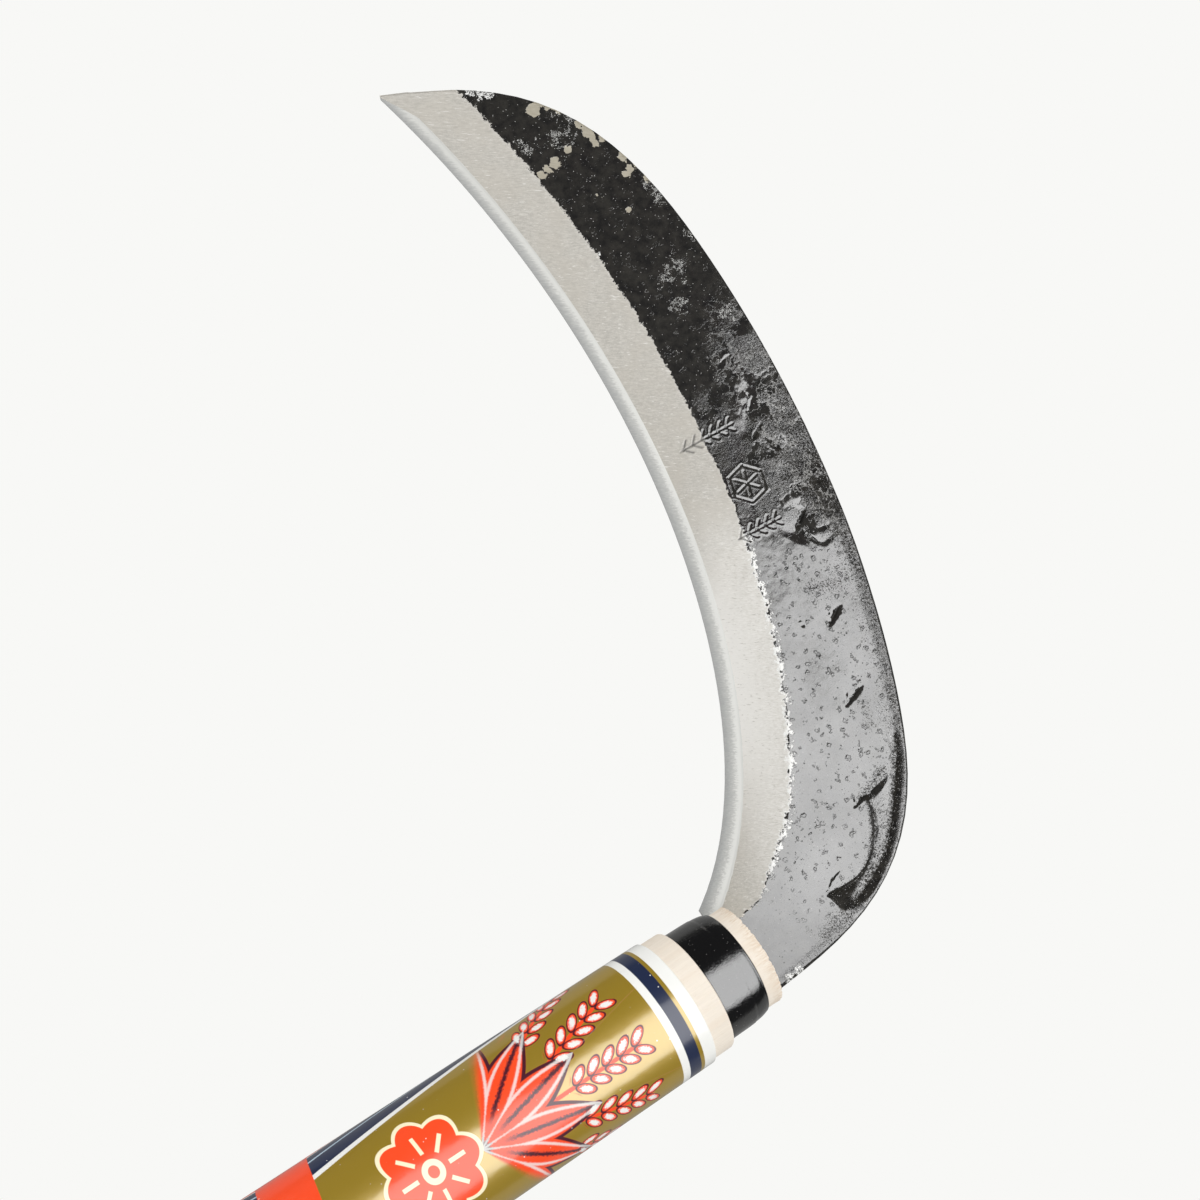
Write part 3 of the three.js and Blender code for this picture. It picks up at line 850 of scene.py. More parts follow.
def handle_piece(material, radius):
    """The wooden handle: fine raised grain, a sawn and slightly torn front end, and the tang's slot."""
    tenon = radius(WOOD_END_X - 2)
    shoulder = radius(SHOULDER_X - 1)
    profile = [(0.0, 6.0), *arc(0.0, radius(BUTT_CORNER + 0.5), BUTT_CORNER, BUTT_CORNER, 1)]
    profile += [(x, radius(x)) for x in np.arange(BUTT_CORNER + 1, SHOULDER_X - 1.2, 1.0)]
    profile += arc(SHOULDER_X, shoulder, SHOULDER_CORNER, SHOULDER_CORNER, -1)[::-1]
    profile += [(SHOULDER_X, tenon + 0.1), (SHOULDER_X + 0.05, tenon)]
    profile += [(x, tenon) for x in np.arange(SHOULDER_X + 1, WOOD_END_X - 0.8, 0.5)]
    profile += arc(WOOD_END_X, tenon + 0.05, TENON_CORNER, TENON_CORNER, -1, 4)[::-1]
    profile += [(WOOD_END_X, r) for r in (tenon - 1.0, tenon - 2.5, tenon - 5, 3.0)]

    def grain(x, radius_, ring):
        fibres = ring_wave(x, ring, 26.0, 0.055, 4.4, 2)
        radius_ = radius_ - GRAIN_DEPTH * (1 - fibres) * smooth(0, 6, radius_)
        torn = smooth(WOOD_END_X - 0.9, WOOD_END_X, x) * (radius_ > tenon - 1.5)
        chips = ring_wave(x * 0, ring, 1.0, 0.06, 9.1, 3)
        x = x - torn * TORN_DEPTH * np.clip(chips + 0.25, 0, 1)
        radius_ = radius_ - torn * 0.16 * np.clip(chips, 0, 1)
        return x, radius_

    piece = turned_piece("wooden_handle", profile, HANDLE_STEPS, grain, material)
    cut(piece, tang_cutters(tenon + 3))
    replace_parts(piece, "handle")


def tang_cutters(slot_side):
    """Solids that open the mortise for the tang, and the wider slot for the blade in front of it."""
    gap = MORTISE_GAP
    throat = HEEL_X - 1
    tree = cad_tree("blade_body")
    ends = [[hit(tree, (x, side * 50, 0), (0, -side, 0))[1] + side * gap for side in (1, -1)]
            for x in (TANG_END_X + 1, throat - 1)]
    low, high = BACK_Z - gap, BACK_Z + ROOT_THICKNESS + gap
    spine_side = HEEL_SPINE_Y - gap
    slot_outline = [(throat - 0.5, spine_side), (WOOD_END_X + 2, spine_side),
                    (WOOD_END_X + 2, slot_side), (throat - 0.5, slot_side)]
    tang_outline = [(TANG_END_X - gap, ends[0][1]), (throat, ends[1][1]),
                    (throat, ends[1][0]), (TANG_END_X - gap, ends[0][0])]
    return [block(slot_outline, low, high), block(tang_outline, low, high)]


def ferrule_piece(material):
    """The lacquered ring: a barrel with a broad rounded lip, slightly crowned and dented."""
    outer_rear = -hit(cad_tree("ferrule"), (SHOULDER_X + 0.6, -40, 0), (0, 1, 0))[1]
    bore = outer_rear - FERRULE_WALL
    outer_front = outer_rear - FERRULE_TAPER
    profile = [(SHOULDER_X + 0.05, bore), *arc(SHOULDER_X + 0.05, outer_rear, 0.3, 0.3, 1)]
    length = FERRULE_END_X - SHOULDER_X
    barrel = [(x, mix(outer_rear, outer_front, (x - SHOULDER_X) / length))
              for x in np.linspace(SHOULDER_X + 0.7, FERRULE_END_X - LIP_LENGTH - 0.2, 14)]
    barrel += arc(FERRULE_END_X, outer_front, LIP_LENGTH, LIP_DROP, -1, 20)[::-1]
    for x, outer in barrel:
        past_middle = max(0.0, (x - SHOULDER_X) / length - 0.45)
        profile.append((x, outer - FERRULE_CROWN * past_middle ** 2 / 0.3))
    profile += [(FERRULE_END_X, bore), (mix(SHOULDER_X, FERRULE_END_X, 0.5), bore)]

    def dents(x, radius, ring):
        ripple = 0.035 * ring_wave(x, ring, 9.0, 0.5, 2.2)
        ripple += 0.012 * ring_wave(x, ring, 3.0, 0.16, 7.7)
        return x, radius + (ripple - 0.05) * (radius > bore + 0.3)

    piece = turned_piece("ferrule_ring", profile, FERRULE_STEPS, dents, material, True)
    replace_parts(piece, "ferrule")


def label_piece(material, radius):
    """The printed film, shrunk on: a wavy front edge and faint ripples."""
    rear, front = LABEL_LOW[0], LABEL_HIGH[0]
    stations = np.linspace(rear + 0.5, front - 0.5, 190)

    def inner(x):
        return radius(x) + FILM_GAP

    profile = [(rear, inner(rear)), (rear, inner(rear) + 0.7 * FILM_WALL)]
    profile += [(x, inner(x) + FILM_WALL) for x in stations]
    profile += [(front - 0.12, inner(front) + 0.92 * FILM_WALL), (front, inner(front) + 0.6 * FILM_WALL)]
    profile += [(front, inner(front))]
    profile += [(x, inner(x)) for x in np.linspace(front - 1, rear + 1, 12)]
    outer_rows = np.arange(len(profile)) < len(stations) + 5

    def shrunk(x, radius_, ring):
        ripple = 0.028 * ring_wave(x, ring, 22.0, 0.7, 6.2)
        ripple += 0.010 * ring_wave(x, ring, 4.0, 0.3, 1.9)
        edge = smooth(front - 5, front, x) - smooth(rear + 5, rear, x)
        x = x + edge * 0.14 * ring_wave(x * 0, ring, 1.0, 0.8, 3.3)
        return x, radius_ + ripple * outer_rows[:, None]

    piece = turned_piece("label_film", profile, HANDLE_STEPS, shrunk, material, True)
    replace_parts(piece, "label_sleeve")


# ---- materials ----

STREAK_TURN = math.radians(-35)
BEVEL_DARK = srgb(158, 154, 145)
BEVEL_LIGHT = srgb(188, 184, 175)
BEVEL_WARM = srgb(176, 170, 158)
BEVEL_PALE = srgb(217, 215, 210)
BARE_METAL = srgb(226, 226, 223)
SCALE_BLACK = srgb(22, 21, 20)
SCALE_BROWN = srgb(44, 42, 38)
# Pits and blister rims: partly dark oxide in the hollows, partly painted shade round the bumps.
SCALE_PIT = srgb(6, 6, 6)
# Painted glints: bright specks laid into the scale's base colour.
GLINT = srgb(175, 174, 171)
FLAKE_DARK = srgb(146, 138, 118)
FLAKE_LIGHT = srgb(164, 157, 138)
STEEL_DARK = srgb(150, 151, 150)
STEEL_LIGHT = srgb(188, 188, 184)
# Painted highlight along the ridge where the honed strip meets the bevel.
STEEL_RIDGE_HIGHLIGHT = srgb(212, 212, 208)
WOOD_DARK = srgb(213, 204, 191)
WOOD_LIGHT = srgb(221, 212, 199)
WOOD_RING = srgb(208, 192, 172)
WOOD_PORE = srgb(192, 170, 144)
WOOD_SAWN = srgb(188, 160, 128)
LACQUER = srgb(4, 4, 4)
LACQUER_DUST = srgb(90, 88, 86)
PIN_DARK = srgb(130, 128, 124)
PIN_LIGHT = srgb(172, 170, 166)

# Numbers after a noise or a cell pattern are: features per millimetre, then detail and roughness. Pairs
# after a step, patches, dots or near are the values between which it rises or falls.


def scratched(m, p):
    """Streaks left by the grinding wheel, across the blade."""
    return m.noise(m.stretched(p, (7.0, 1.0, 1.0), STREAK_TURN), 4.0, 4.0, 0.7)


def iron_maps(m):
    """What the parts of the iron material need to know at each point."""
    p = m.position()
    share = m.attribute("share")
    face = m.attribute("face")
    lower = m.step(share, 0.435, 0.395)
    ragged = (m.noise(p, 0.9, 6.0, 0.72) - 0.5) * m.ramp(lower, 0.62, 1.6)
    border = m.attribute("over_mm") + ragged
    streaks = scratched(m, p)
    fine = m.noise(m.stretched(p, (16.0, 1.0, 1.0), STREAK_TURN), 3.0, 3.0, 0.7)
    return SimpleNamespace(
        p=p, share=share, face=face, lower=lower, border=border, streaks=streaks,
        middle=m.step(share, 0.39, 0.42) * m.step(share, 0.59, 0.49),
        away_from_root=m.step(share, 0.03, 0.12),
        scaled=m.step(border, -0.012, 0.012) * face,
        tone=m.span(streaks, 0.36, 0.64),
        dashes=m.step(fine, 0.60, 0.70),
        cuts=m.step(fine, 0.40, 0.30),
        speck=m.noise(p, 2.6, 3.0, 0.8),
        skin=m.noise(p, 0.5, 5.0, 0.65))


def bevel_colour(m, at):
    """Ground iron, paler towards the scale in the lower half."""
    grain = m.span(m.noise(at.p, 4.5, 2.0, 0.8), 0.3, 0.7, -0.35, 0.35)
    low_part = m.step(at.share, 0.48, 0.30) * m.step(at.share, 0.04, 0.24)
    paler = m.step(m.attribute("over_mm"), -2.8, -0.3) * m.ramp(at.lower, 0.15, 1.0)
    rim = m.near(at.border, -0.045, 0.06, 0.03) * m.ramp(at.lower, 0.1, 1.0)
    return m.paint(
        m.blend(m.math("ADD", at.tone, grain, clamp=True), BEVEL_DARK, BEVEL_LIGHT),
        (m.span(m.noise(at.p, 0.12, 3.0), 0.38, 0.62, 0.0, 0.5), BEVEL_WARM),
        (low_part * 0.9, BEVEL_PALE),
        (paler * at.away_from_root * 0.75, m.blend(at.tone, BEVEL_LIGHT, BEVEL_PALE)),
        (at.dashes * 0.85, BEVEL_PALE),
        (at.cuts * 0.8, BEVEL_DARK),
        (rim * at.away_from_root, BARE_METAL))


def scale_marks(m, at):
    """Where the forge scale is grainy, blistered, cracked or pitted."""
    spine_mm = m.attribute("spine_mm")
    near_spine = m.step(spine_mm, 14.0, 6.0)
    grainy = m.patches(at.p, 0.10, 0.46, 0.52, 4.0, 0.6) * at.middle * m.ramp(near_spine, 0.25, 1.0)
    at_spine = m.step(spine_mm, 3.4, 0.8) * m.ramp(at.lower, 0.12, 0.6)
    bubbles = m.cells(m.warped(at.p, 1.3, 1.5), 0.54)
    shown = m.patches(at.p, 0.26, 0.36, 0.46, 3.0) * m.patches(at.p, 0.9, 0.36, 0.46)
    shown = shown * m.step(at.share, 0.05, 0.12)
    blister = m.near(bubbles, 0.24, 0.075, 0.03) * shown * m.ramp(at.lower, 0.2, 1.0)
    crack = m.near(m.noise(at.p, 0.22, 5.0, 0.62), 0.5, 0.016, 0.006)
    pit = m.dots(at.p, 0.9, 0.15, 0.10) * m.patches(at.p, 0.30, 0.52, 0.60) * at.lower
    return SimpleNamespace(
        grainy=m.most(grainy, at_spine, m.attribute("worked") * 0.22),
        bubble_top=m.step(bubbles, 0.20, 0.08) * shown * at.lower,
        crack=crack * (at.middle * near_spine),
        marked=m.most(blister, pit))


def scale_dullness(m, at, marks):
    """How little the scale mirrors, 0..1: sooty, grainy and cloudy places."""
    sooty = m.attribute("soot")
    grit = m.span(m.noise(at.p, 3.0, 4.0, 0.85), 0.34, 0.66, -0.62, 0.62)
    dull = m.step(sooty + marks.grainy * 0.52 + grit, 0.42, 0.62) * at.scaled
    grains = m.patches(at.p, 1.9, 0.50, 0.57, 3.0, 0.75) * m.step(sooty, 0.97, 0.80)
    dull = m.math("SUBTRACT", dull, grains * at.lower * 0.75, clamp=True)
    cloud = m.span(m.noise(at.p, 0.11, 4.0, 0.6), 0.36, 0.64, 0.0, 0.14)
    cloud = cloud + m.step(at.share, 0.13, 0.02) * 0.20
    return m.most(dull, marks.marked * 0.35, cloud * at.lower)


def scale_colour(m, at, marks):
    """Black to brown skin with dark pits, and bright specks that are painted glints."""
    # The glints here are painted highlights; the cracks get half the glint colour.
    dots = m.dots(at.p, 1.3, 0.15, 0.07) * m.patches(at.p, 0.35, 0.45, 0.53, 4.0, 0.7)
    glints = m.most(m.step(at.speck, 0.72, 0.77) * 0.7, dots) * m.ramp(at.lower, 1.0, 0.3)
    fold_glints = m.dots(at.p, 2.4, 0.24, 0.12) * m.patches(at.p, 0.9, 0.46, 0.54, 3.0)
    glints = m.most(glints, fold_glints * m.attribute("worked"))
    # Pits and blister rims are painted dark and mirror less: partly the oxide in these hollows, partly
    # painted shade round the bumps.
    return m.paint(
        m.blend(m.span(at.skin, 0.35, 0.65), SCALE_BLACK, SCALE_BROWN),
        (marks.marked * 0.6, SCALE_PIT),
        (m.most(glints, marks.crack * 0.5), GLINT))


def bare_places(m, at):
    """Where the scale has come off: at its border and in brownish and silvery flakes; also a painted
    sparkle of light.
    """
    bare = m.near(at.border, 0.04, 0.24, 0.15) * m.patches(
        at.p, 0.55, m.ramp(at.lower, 0.66, 0.49), m.ramp(at.lower, 0.69, 0.52), 5.0, 0.72)
    bare = bare * (at.face * at.away_from_root)
    torn = (m.noise(at.p, 0.8, 3.0, 0.55) - 0.46) * 3.0
    flake, silver = [m.step(m.attribute(name) + torn, -0.06, 0.06) * at.scaled
                     for name in ("flake_mm", "silver_mm")]
    silver = silver * m.step(at.speck, 0.47, 0.53)
    spots = m.attribute("sparkle")
    scattered = spots + m.ramp(m.noise(at.p, 0.40, 4.0, 0.7), -2.2, 2.2)
    sparkle = m.step(scattered, 0.85, 1.0) * at.scaled
    sparkle = sparkle * m.near(m.noise(at.p, 1.5, 4.0, 0.75), 0.53, 0.022, 0.012)
    return bare, flake, silver, sparkle * m.step(spots, 0.05, 0.25)


def iron_material():
    """Ground soft iron on the bevel, and black forge scale above it."""
    m = Shader("forged_iron")
    at = iron_maps(m)
    marks = scale_marks(m, at)
    bare, flake, silver, sparkle = bare_places(m, at)
    lost = m.most(bare, m.most(flake, silver))
    dark = at.scaled * (1.0 - lost)

    colour = m.paint(
        bevel_colour(m, at),
        (at.scaled, scale_colour(m, at, marks)),
        (flake, m.blend(at.tone, FLAKE_DARK, FLAKE_LIGHT)),
        (m.most(bare, silver), BARE_METAL),
        # The sparkle is a painted highlight, laid on in the bare metal's colour.
        (sparkle * 0.95, BARE_METAL),
        (m.attribute("groove") * 0.75, SCALE_BROWN))

    relief = at.skin * 0.08 + at.speck * 0.04 + at.speck * marks.grainy * 1.5
    relief = relief - marks.marked * 0.4 + marks.bubble_top * 0.4 + marks.crack * 0.6
    relief = relief - lost * 0.25 + 0.25
    height = m.blend_value(at.scaled, (at.streaks + at.dashes) * 0.12, relief)
    matt = m.span(at.streaks, 0.3, 0.7, 0.58, 0.68)
    glossy = m.span(at.skin, 0.3, 0.7, 0.06, 0.11)
    return m.surface(base_color=colour, roughness=m.blend_value(dark, matt, glossy),
                     metallic=m.blend_value(dark, 0.2, 0.0), normal=m.bump(height, 0.06), ior=2.42,
                     specular_ior_level=m.blend_value(scale_dullness(m, at, marks), 0.5, 0.02))


def steel_material():
    """The honed strip of hard steel: dark at the very edge, pale where it meets the main bevel, and a
    painted highlight there.
    """
    m = Shader("ground_steel")
    inside = m.attribute("hone_share")
    streaks = scratched(m, m.position())
    light = inside + m.span(streaks, 0.3, 0.7, -0.20, 0.20)
    # A painted highlight: a pale band laid into the base colour along the ridge.
    ridge_highlight = m.step(light, 0.45, 0.72) * m.step(inside, 1.0, 0.80)
    ridge_highlight = ridge_highlight * m.span(m.attribute("share"), 0.5, 0.9, 1.0, 0.4)
    colour = m.paint(
        m.blend(m.step(light, -0.1, 0.8), STEEL_DARK, STEEL_LIGHT),
        (ridge_highlight * 0.8, STEEL_RIDGE_HIGHLIGHT))
    return m.surface(base_color=colour, roughness=m.span(streaks, 0.3, 0.7, 0.56, 0.66), metallic=0.15,
                     normal=m.bump(streaks, 0.006), specular_ior_level=0.3)


def wood_material():
    """Pale straight-grained wood, unvarnished, and darker on the sawn end."""
    m = Shader("bare_wood")
    p = m.position()
    fibres = m.noise(m.stretched(p, (20.0, 1.0, 1.0)), 2.2, 5.0, 0.6, 0.4)
    pores = m.noise(m.stretched(p, (10.0, 1.0, 1.0)), 7.0, 3.0, 0.7)
    rings = m.noise(m.stretched(p, (80.0, 1.0, 1.0)), 0.30, 2.0, 0.5, 1.2)
    along = m.split(p)[0] / MM
    sawn = m.step(along, FERRULE_END_X, WOOD_END_X) * m.span(pores, 0.46, 0.66, 0.0, 0.9)
    colour = m.paint(
        m.blend(m.span(fibres, 0.3, 0.7), WOOD_DARK, WOOD_LIGHT),
        (m.span(rings, 0.42, 0.62, 0.0, 0.30), WOOD_RING),
        (m.span(pores, 0.60, 0.74, 0.0, 0.6), WOOD_PORE),
        (sawn, WOOD_SAWN))
    return m.surface(base_color=colour, roughness=m.span(fibres, 0.3, 0.7, 0.55, 0.7),
                     normal=m.bump(fibres * 0.6 + pores * 0.4, 0.06), specular_ior_level=0.35)


def lacquer_material():
    """Glossy black enamel with dust in it."""
    m = Shader("black_lacquer")
    p = m.position()
    dust = m.dots(p, 1.6, 0.20, 0.08) * m.patches(p, 0.8, 0.48, 0.56)
    ripple = m.noise(p, 0.30) + m.noise(p, 2.6, 3.0, 0.7) * 0.40 + m.noise(p, 5.0) * 0.22
    uneven = m.bump(ripple, 0.06)
    return m.surface(base_color=m.blend(dust, LACQUER, LACQUER_DUST), roughness=dust * 0.4 + 0.12,
                     normal=uneven, coat_normal=uneven, coat_weight=1.0, coat_roughness=0.10,
                     coat_ior=2.0)


def pin_material():
    """Drawn steel with scratches round the pin."""
    m = Shader("pin_steel")
    scratches = m.noise(m.stretched(m.position(), (1.0, 1.0, 10.0)), 4.0, 3.0, 0.6)
    return m.surface(base_color=m.blend(scratches, PIN_DARK, PIN_LIGHT), metallic=1.0,
                     roughness=m.span(scratches, 0.3, 0.7, 0.3, 0.5), normal=m.bump(scratches, 0.02))


# ---- printed film ----

NAVY = srgb(28, 38, 66)
SKY = srgb(170, 190, 205)
CREAM = srgb(236, 226, 190)
VERMILION = srgb(236, 70, 24)
MAROON = srgb(70, 20, 36)
FILM_WHITE = srgb(226, 226, 222)
OLIVE_GOLD = srgb(170, 139, 24)
GOLD_FLAKE = srgb(160, 138, 66)

# Sizes of the print in millimetres. Places are measured back from the film's front edge and round from
# the middle of the gold panel.
PRINT_RADIUS = 13.5
PRINT_SHIFT = 3.0
PRINT_BLUR = 0.09
PANEL_HALF_WIDTH = 24.8
PANEL_TAPER = 0.1427
PANEL_END = 176.0
SHEAF_TIE = 53.0
EAR_SPACING = math.radians(17)
EAR_SPREAD = math.radians(43)
EAR_START = 21.3
EAR_END = 39.5
GRAIN_LENGTH = 3.6
GRAIN_ASIDE = 1.5
GRAIN_HALF_WIDTH = 1.55
LEAF_SPACING = math.radians(24)
LEAF_SPREAD = math.radians(58)
LEAF_LENGTH = 27.0
LEAF_HALF_WIDTH = 4.1
STEM_HALF_WIDTH = 0.42
ROSETTE_BACK = 63.5
ROSETTE_ROUND = 1.5
ROSETTE_RADIUS = 8.4
PETAL_SWELL = 2.0
ROSETTE_BORDER = 0.9
RIBBON_SLANT = 0.33
RIBBON_FRONT = 87.7
RIBBON_REAR = 99.9
# Bands at both ends, from their inner edge outwards: distance from the end, colour.
END_BANDS = ((8.3, FILM_WHITE), (6.55, NAVY), (3.8, OLIVE_GOLD), (2.95, FILM_WHITE))


def below(m, value, limit):
    """1 below the limit, with the soft edge of printer's ink."""
    return m.step(value, limit + PRINT_BLUR, limit - PRINT_BLUR)


def polar(m, x, y):
    """Distance from a centre and bearing round it."""
    return m.math("SQRT", x * x + y * y), m.math("ARCTAN2", y, x)


def film_maps(m):
    """Where each point lies on the unrolled print."""
    p = m.position()
    x, y, z = m.split(p)
    behind = LABEL_FRONT_X - x / MM
    side = m.math("ARCTAN2", y, z / OVAL) * PRINT_RADIUS + PRINT_SHIFT
    panel_half = PANEL_HALF_WIDTH - m.math("MINIMUM", behind, PANEL_END - behind) * PANEL_TAPER
    return SimpleNamespace(
        p=p, behind=behind, side=side, beyond=abs(side) - panel_half,
        from_end=m.math("MINIMUM", behind, LABEL_LENGTH - behind),
        speckle=m.noise(p, 2.6, 3.0, 0.8))


def sheaf(m, at):
    """Ears and leaves that spread from a tie: where they are printed, and in which ink.

    They repeat by angle about the tie, and grains repeat along each ear.
    """
    reach, bearing = polar(m, SHEAF_TIE - at.behind, at.side)

    def off_axis(spacing, offset):
        turn = bearing + offset
        nearest = m.math("ROUND", turn / spacing) * spacing
        return abs(reach * m.math("SINE", turn - nearest))

    aside = off_axis(EAR_SPACING, 0.0)
    in_fan = below(m, abs(bearing), EAR_SPREAD)
    along = reach - aside * 0.9
    long_part = (m.math("FRACT", along / GRAIN_LENGTH) - 0.5) * 2.15
    wide_part = (aside - GRAIN_ASIDE) / GRAIN_HALF_WIDTH
    grain = long_part * long_part + wide_part * wide_part
    ear_zone = m.step(along, EAR_START - 0.3, EAR_START + 0.3) * m.step(along, EAR_END + 0.3, EAR_END - 0.3)
    ear = below(m, grain, 1.0) * (ear_zone * in_fan)
    stem = below(m, aside, STEM_HALF_WIDTH) * m.step(reach, EAR_END, EAR_END - 1.0) * in_fan

    leaf_aside = off_axis(LEAF_SPACING, LEAF_SPACING / 2)
    bulge = m.math("SINE", m.math("MINIMUM", reach, LEAF_LENGTH) * (math.pi / LEAF_LENGTH))
    leaf_half = bulge * LEAF_HALF_WIDTH
    leaf = below(m, leaf_aside - leaf_half, 0.0) * below(m, abs(bearing), LEAF_SPREAD)
    vein = m.step(leaf_aside + at.speckle * 1.6, 1.45, 0.95) * m.step(reach, 3.0, 9.0)
    leaf_rim = m.step(leaf_aside - leaf_half, -0.95, -0.65)
    dark = m.most(leaf * m.most(vein, leaf_rim), ear * m.step(grain, 0.55, 0.75))
    lit_grain = ear * m.step(grain + at.speckle * 1.2, 1.05, 0.75)
    lit_leaf = leaf * m.step(abs(leaf_aside - leaf_half * 0.55), at.speckle, 0.1)

    ink = m.paint(VERMILION, (dark, MAROON), (m.most(lit_grain, lit_leaf * 0.7), FILM_WHITE))
    return m.most(ear, leaf, stem), ink


def rosette(m, at):
    """A flower with a cream border, spokes and a ring: where it lies, and its coats of ink."""
    out, turn = polar(m, at.behind - ROSETTE_BACK, at.side - ROSETTE_ROUND)
    petals = abs(m.math("COSINE", turn * 4.0)) * PETAL_SWELL + ROSETTE_RADIUS
    area = below(m, out - petals, ROSETTE_BORDER)
    spokes = m.step(abs(out * m.math("SINE", turn * 4.0)), 1.9, 1.4)
    return area, (
        (area, CREAM),
        (below(m, out - petals, 0.0), VERMILION),
        (spokes * (below(m, out, 7.4) * m.step(out, 3.6, 3.8)), CREAM),
        (below(m, out, 2.4) * m.step(out, 1.1, 1.3), CREAM))


def film_material():
    """Printed bands, a gold panel with a sheaf and a rosette, and a vermilion ribbon, under clear gloss."""
    m = Shader("printed_film")
    at = film_maps(m)
    gold = below(m, at.beyond, 0.0)
    sheaf_area, sheaf_ink = sheaf(m, at)
    rosette_area, rosette_coats = rosette(m, at)
    slant = at.behind + at.side * RIBBON_SLANT
    ribbon = m.step(slant, RIBBON_FRONT - 0.1, RIBBON_FRONT + 0.1)
    ribbon = ribbon * m.step(slant, RIBBON_REAR + 0.1, RIBBON_REAR - 0.1)
    thin_gold = m.step(at.from_end, 2.9, 3.0) * m.step(at.from_end, 3.85, 3.75)
    plain_gold = gold * m.step(at.from_end, 8.2, 8.4) * (1.0 - sheaf_area * gold)
    plain_gold = plain_gold * (1.0 - ribbon) * (1.0 - rosette_area)
    metal_ink = m.most(plain_gold, thin_gold)
    colour = m.paint(
        VERMILION,
        (below(m, at.beyond, 8.4), FILM_WHITE),
        (below(m, at.beyond, 7.9), NAVY),
        (below(m, at.beyond, 5.4) * below(m, at.beyond * -1.0, -4.9), SKY),
        (below(m, at.beyond, 1.15), FILM_WHITE),
        (gold, OLIVE_GOLD),
        (sheaf_area * gold, sheaf_ink),
        *rosette_coats,
        (ribbon, VERMILION),
        *[(below(m, at.from_end, limit), ink) for limit, ink in END_BANDS],
        (metal_ink * m.span(m.noise(at.p, 9.0, 2.0, 0.6), 0.3, 0.7, 0.0, 0.25), GOLD_FLAKE),
        (m.dots(at.p, 0.55, 0.10, 0.05) * m.patches(at.p, 0.5, 0.52, 0.6), FILM_WHITE))
    uneven = m.bump(m.noise(at.p, 0.16), 0.10)
    return m.surface(base_color=colour, metallic=metal_ink * 0.36, roughness=m.ramp(metal_ink, 0.34, 0.33),
                     normal=uneven, coat_normal=uneven, coat_weight=1.0, coat_roughness=0.17,
                     coat_ior=m.ramp(metal_ink, 1.5, 1.85), specular_ior_level=m.ramp(metal_ink, 0.4, 1.0))


# ---- camera, light and stage ----

# The camera looks down on the bevelled face from behind the handle, with the handle rising to the right.
TOWARD_CAMERA = Vector((-0.3209, -0.0877, 0.9430)).normalized()
HANDLE_RISE = math.radians(32.62)
CAMERA_DISTANCE = 1316.2
AIM = Vector((WOOD_END_X + 16.0, 75.85, 0.0))
LENS = 196.0


def camera_axes():
    """The camera's right, up and backward directions."""
    handle = Vector((1, 0, 0))
    handle = (handle - TOWARD_CAMERA * handle.dot(TOWARD_CAMERA)).normalized()
    square = TOWARD_CAMERA.cross(handle)
    right = handle * math.cos(HANDLE_RISE) - square * math.sin(HANDLE_RISE)
    up = handle * math.sin(HANDLE_RISE) + square * math.cos(HANDLE_RISE)
    return right, up, TOWARD_CAMERA


def add_camera():
    """The scene's camera, with a long lens."""
    data = bpy.data.cameras.new("camera")
    data.lens = LENS
    data.sensor_width = 36.0
    data.clip_start = 0.01
    data.clip_end = 50.0
    camera = place_object("camera", data)
    axes = Matrix(camera_axes()).transposed().to_4x4()
    axes.translation = (AIM + TOWARD_CAMERA * CAMERA_DISTANCE) * MM
    camera.matrix_world = axes
    bpy.context.scene.camera = camera


def add_softbox(name, facing, upward, distance, slide, width, height, radiance, mirrored=True):
    """A rectangular soft light that looks back along `facing`, moved by `slide` along its own upright.

    facing and upward are given in the camera's right, up and back directions. A light that is not
    mirrored brightens matt surfaces only.
    """
    right, up, back = camera_axes()

    def turned(v):
        return right * v[0] + up * v[1] + back * v[2]

    away = turned(facing).normalized()
    top = turned(upward)
    top = (top - away * top.dot(away)).normalized()
    data = bpy.data.lights.new(name, "AREA")
    data.shape = "RECTANGLE"
    data.size = width
    data.size_y = height
    data.energy = radiance * math.pi * width * height
    light = place_object(name, data)
    place = Matrix((top.cross(away), top, away)).transposed().to_4x4()
    place.translation = Vector((WOOD_END_X, 40, 0)) * MM + away * distance + top * slide
    light.matrix_world = place
    light.visible_camera = False
    light.visible_glossy = mirrored


PALE = srgb(248, 248, 246)
SOFT_FILL = (0.40, 0.40, 0.40)
DARK_ROOM = (0.05, 0.05, 0.052)
FLOOR_IN_REFLECTIONS = 0.30
# The floor's middle, its half size and the distances between which its light fades, in metres.
FLOOR_MIDDLE = (WOOD_END_X * MM, 0.06, -0.30)
FLOOR_HALF = 4.0
FLOOR_FADE = (3.2, 1.6)


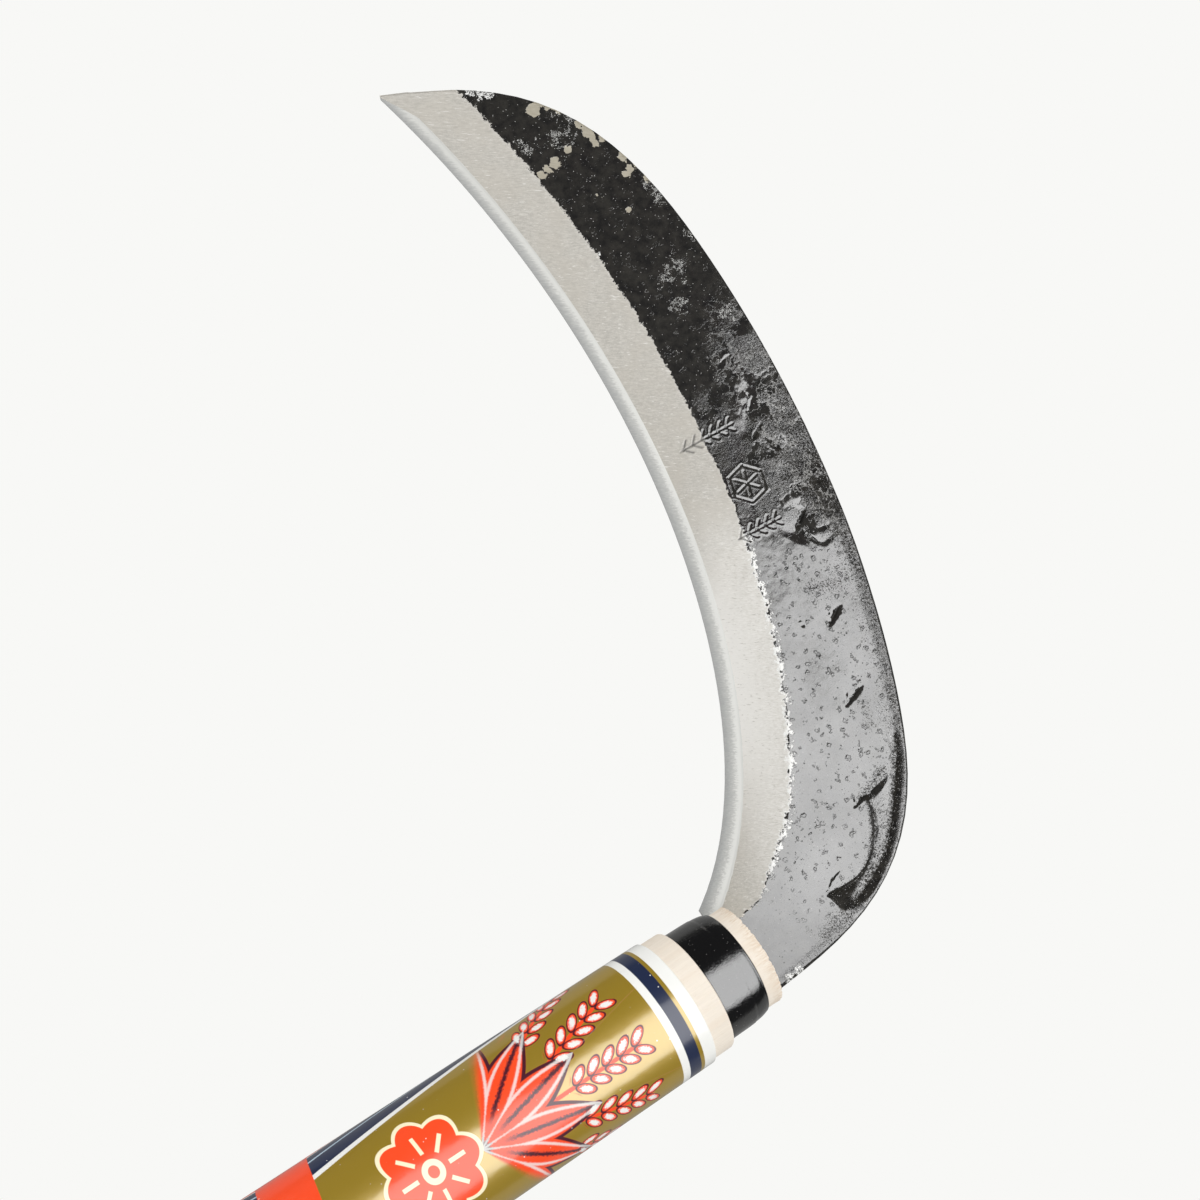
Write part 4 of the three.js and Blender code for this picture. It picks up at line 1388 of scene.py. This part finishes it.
def add_world():
    """A pale backdrop to the camera, soft fill for matt surfaces and a dark room in reflections."""
    world = bpy.data.worlds.new("studio")
    bpy.context.scene.world = world
    world.use_nodes = True
    tree = world.node_tree
    tree.nodes.clear()
    output = tree.nodes.new("ShaderNodeOutputWorld")
    background = tree.nodes.new("ShaderNodeBackground")
    ray = tree.nodes.new("ShaderNodeLightPath").outputs
    below = (*DARK_ROOM, 1)
    for seen, tone in (("Is Diffuse Ray", SOFT_FILL), ("Is Camera Ray", PALE)):
        shade = tree.nodes.new("ShaderNodeMix")
        shade.data_type = "RGBA"
        tree.links.new(ray[seen], shade.inputs[0])
        if isinstance(below, tuple):
            shade.inputs[6].default_value = below
        else:
            tree.links.new(below, shade.inputs[6])
        shade.inputs[7].default_value = (*tone, 1)
        below = shade.outputs[2]
    tree.links.new(below, background.inputs["Color"])
    tree.links.new(background.outputs[0], output.inputs["Surface"])


def add_floor():
    """A pale glowing floor that is invisible from below and fainter in reflections."""
    m = Shader("pale_floor")
    radius = m.node("ShaderNodeVectorMath", {0: m.position()}, operation="LENGTH").outputs["Value"]
    fade = m.step(radius, *FLOOR_FADE)
    ray = m.node("ShaderNodeLightPath").outputs
    mirrored = m.span(ray["Is Glossy Ray"], 0.0, 1.0, 1.0, FLOOR_IN_REFLECTIONS)
    strength = m.most(ray["Is Camera Ray"], fade * mirrored)
    glow = m.node("ShaderNodeEmission", {"Color": rgba(PALE), "Strength": strength}).outputs[0]
    clear = m.node("ShaderNodeBsdfTransparent").outputs[0]
    under = m.node("ShaderNodeNewGeometry").outputs["Backfacing"]
    made = m.node("ShaderNodeMixShader", {0: under, 1: glow, 2: clear})
    m.tree.links.new(made.outputs[0], m.output.inputs["Surface"])

    corners = [(x * FLOOR_HALF, y * FLOOR_HALF, 0) for x, y in ((-1, -1), (1, -1), (1, 1), (-1, 1))]
    mesh = bpy.data.meshes.new("floor")
    mesh.from_pydata(corners, [], [(0, 1, 2, 3)])
    mesh.materials.append(m.material)
    floor = place_object("floor", mesh)
    floor.location = FLOOR_MIDDLE


# ---- build ----

radius = grip_radius()
blade_pieces({"iron": iron_material(), "steel": steel_material()})
handle_piece(wood_material(), radius)
ferrule_piece(lacquer_material())
label_piece(film_material(), radius)
for pin in ("front_tang_pin", "rear_tang_pin"):
    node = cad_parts[pin]
    node.data.materials.clear()
    node.data.materials.append(pin_material())

add_camera()
add_softbox("key_softbox", (0.657, 0.086, 0.751), (-0.378, 0.898, 0.229), 1.0, -0.098, 1.2, 1.2, 3.0)
add_softbox("side_softbox", (-0.6, 0.7, 0.35), (0.5, 0.7, 0.0), 1.0, 0.0, 0.8, 0.8, 3.0, False)
add_world()
add_floor()
bpy.context.scene.view_settings.view_transform = "Standard"
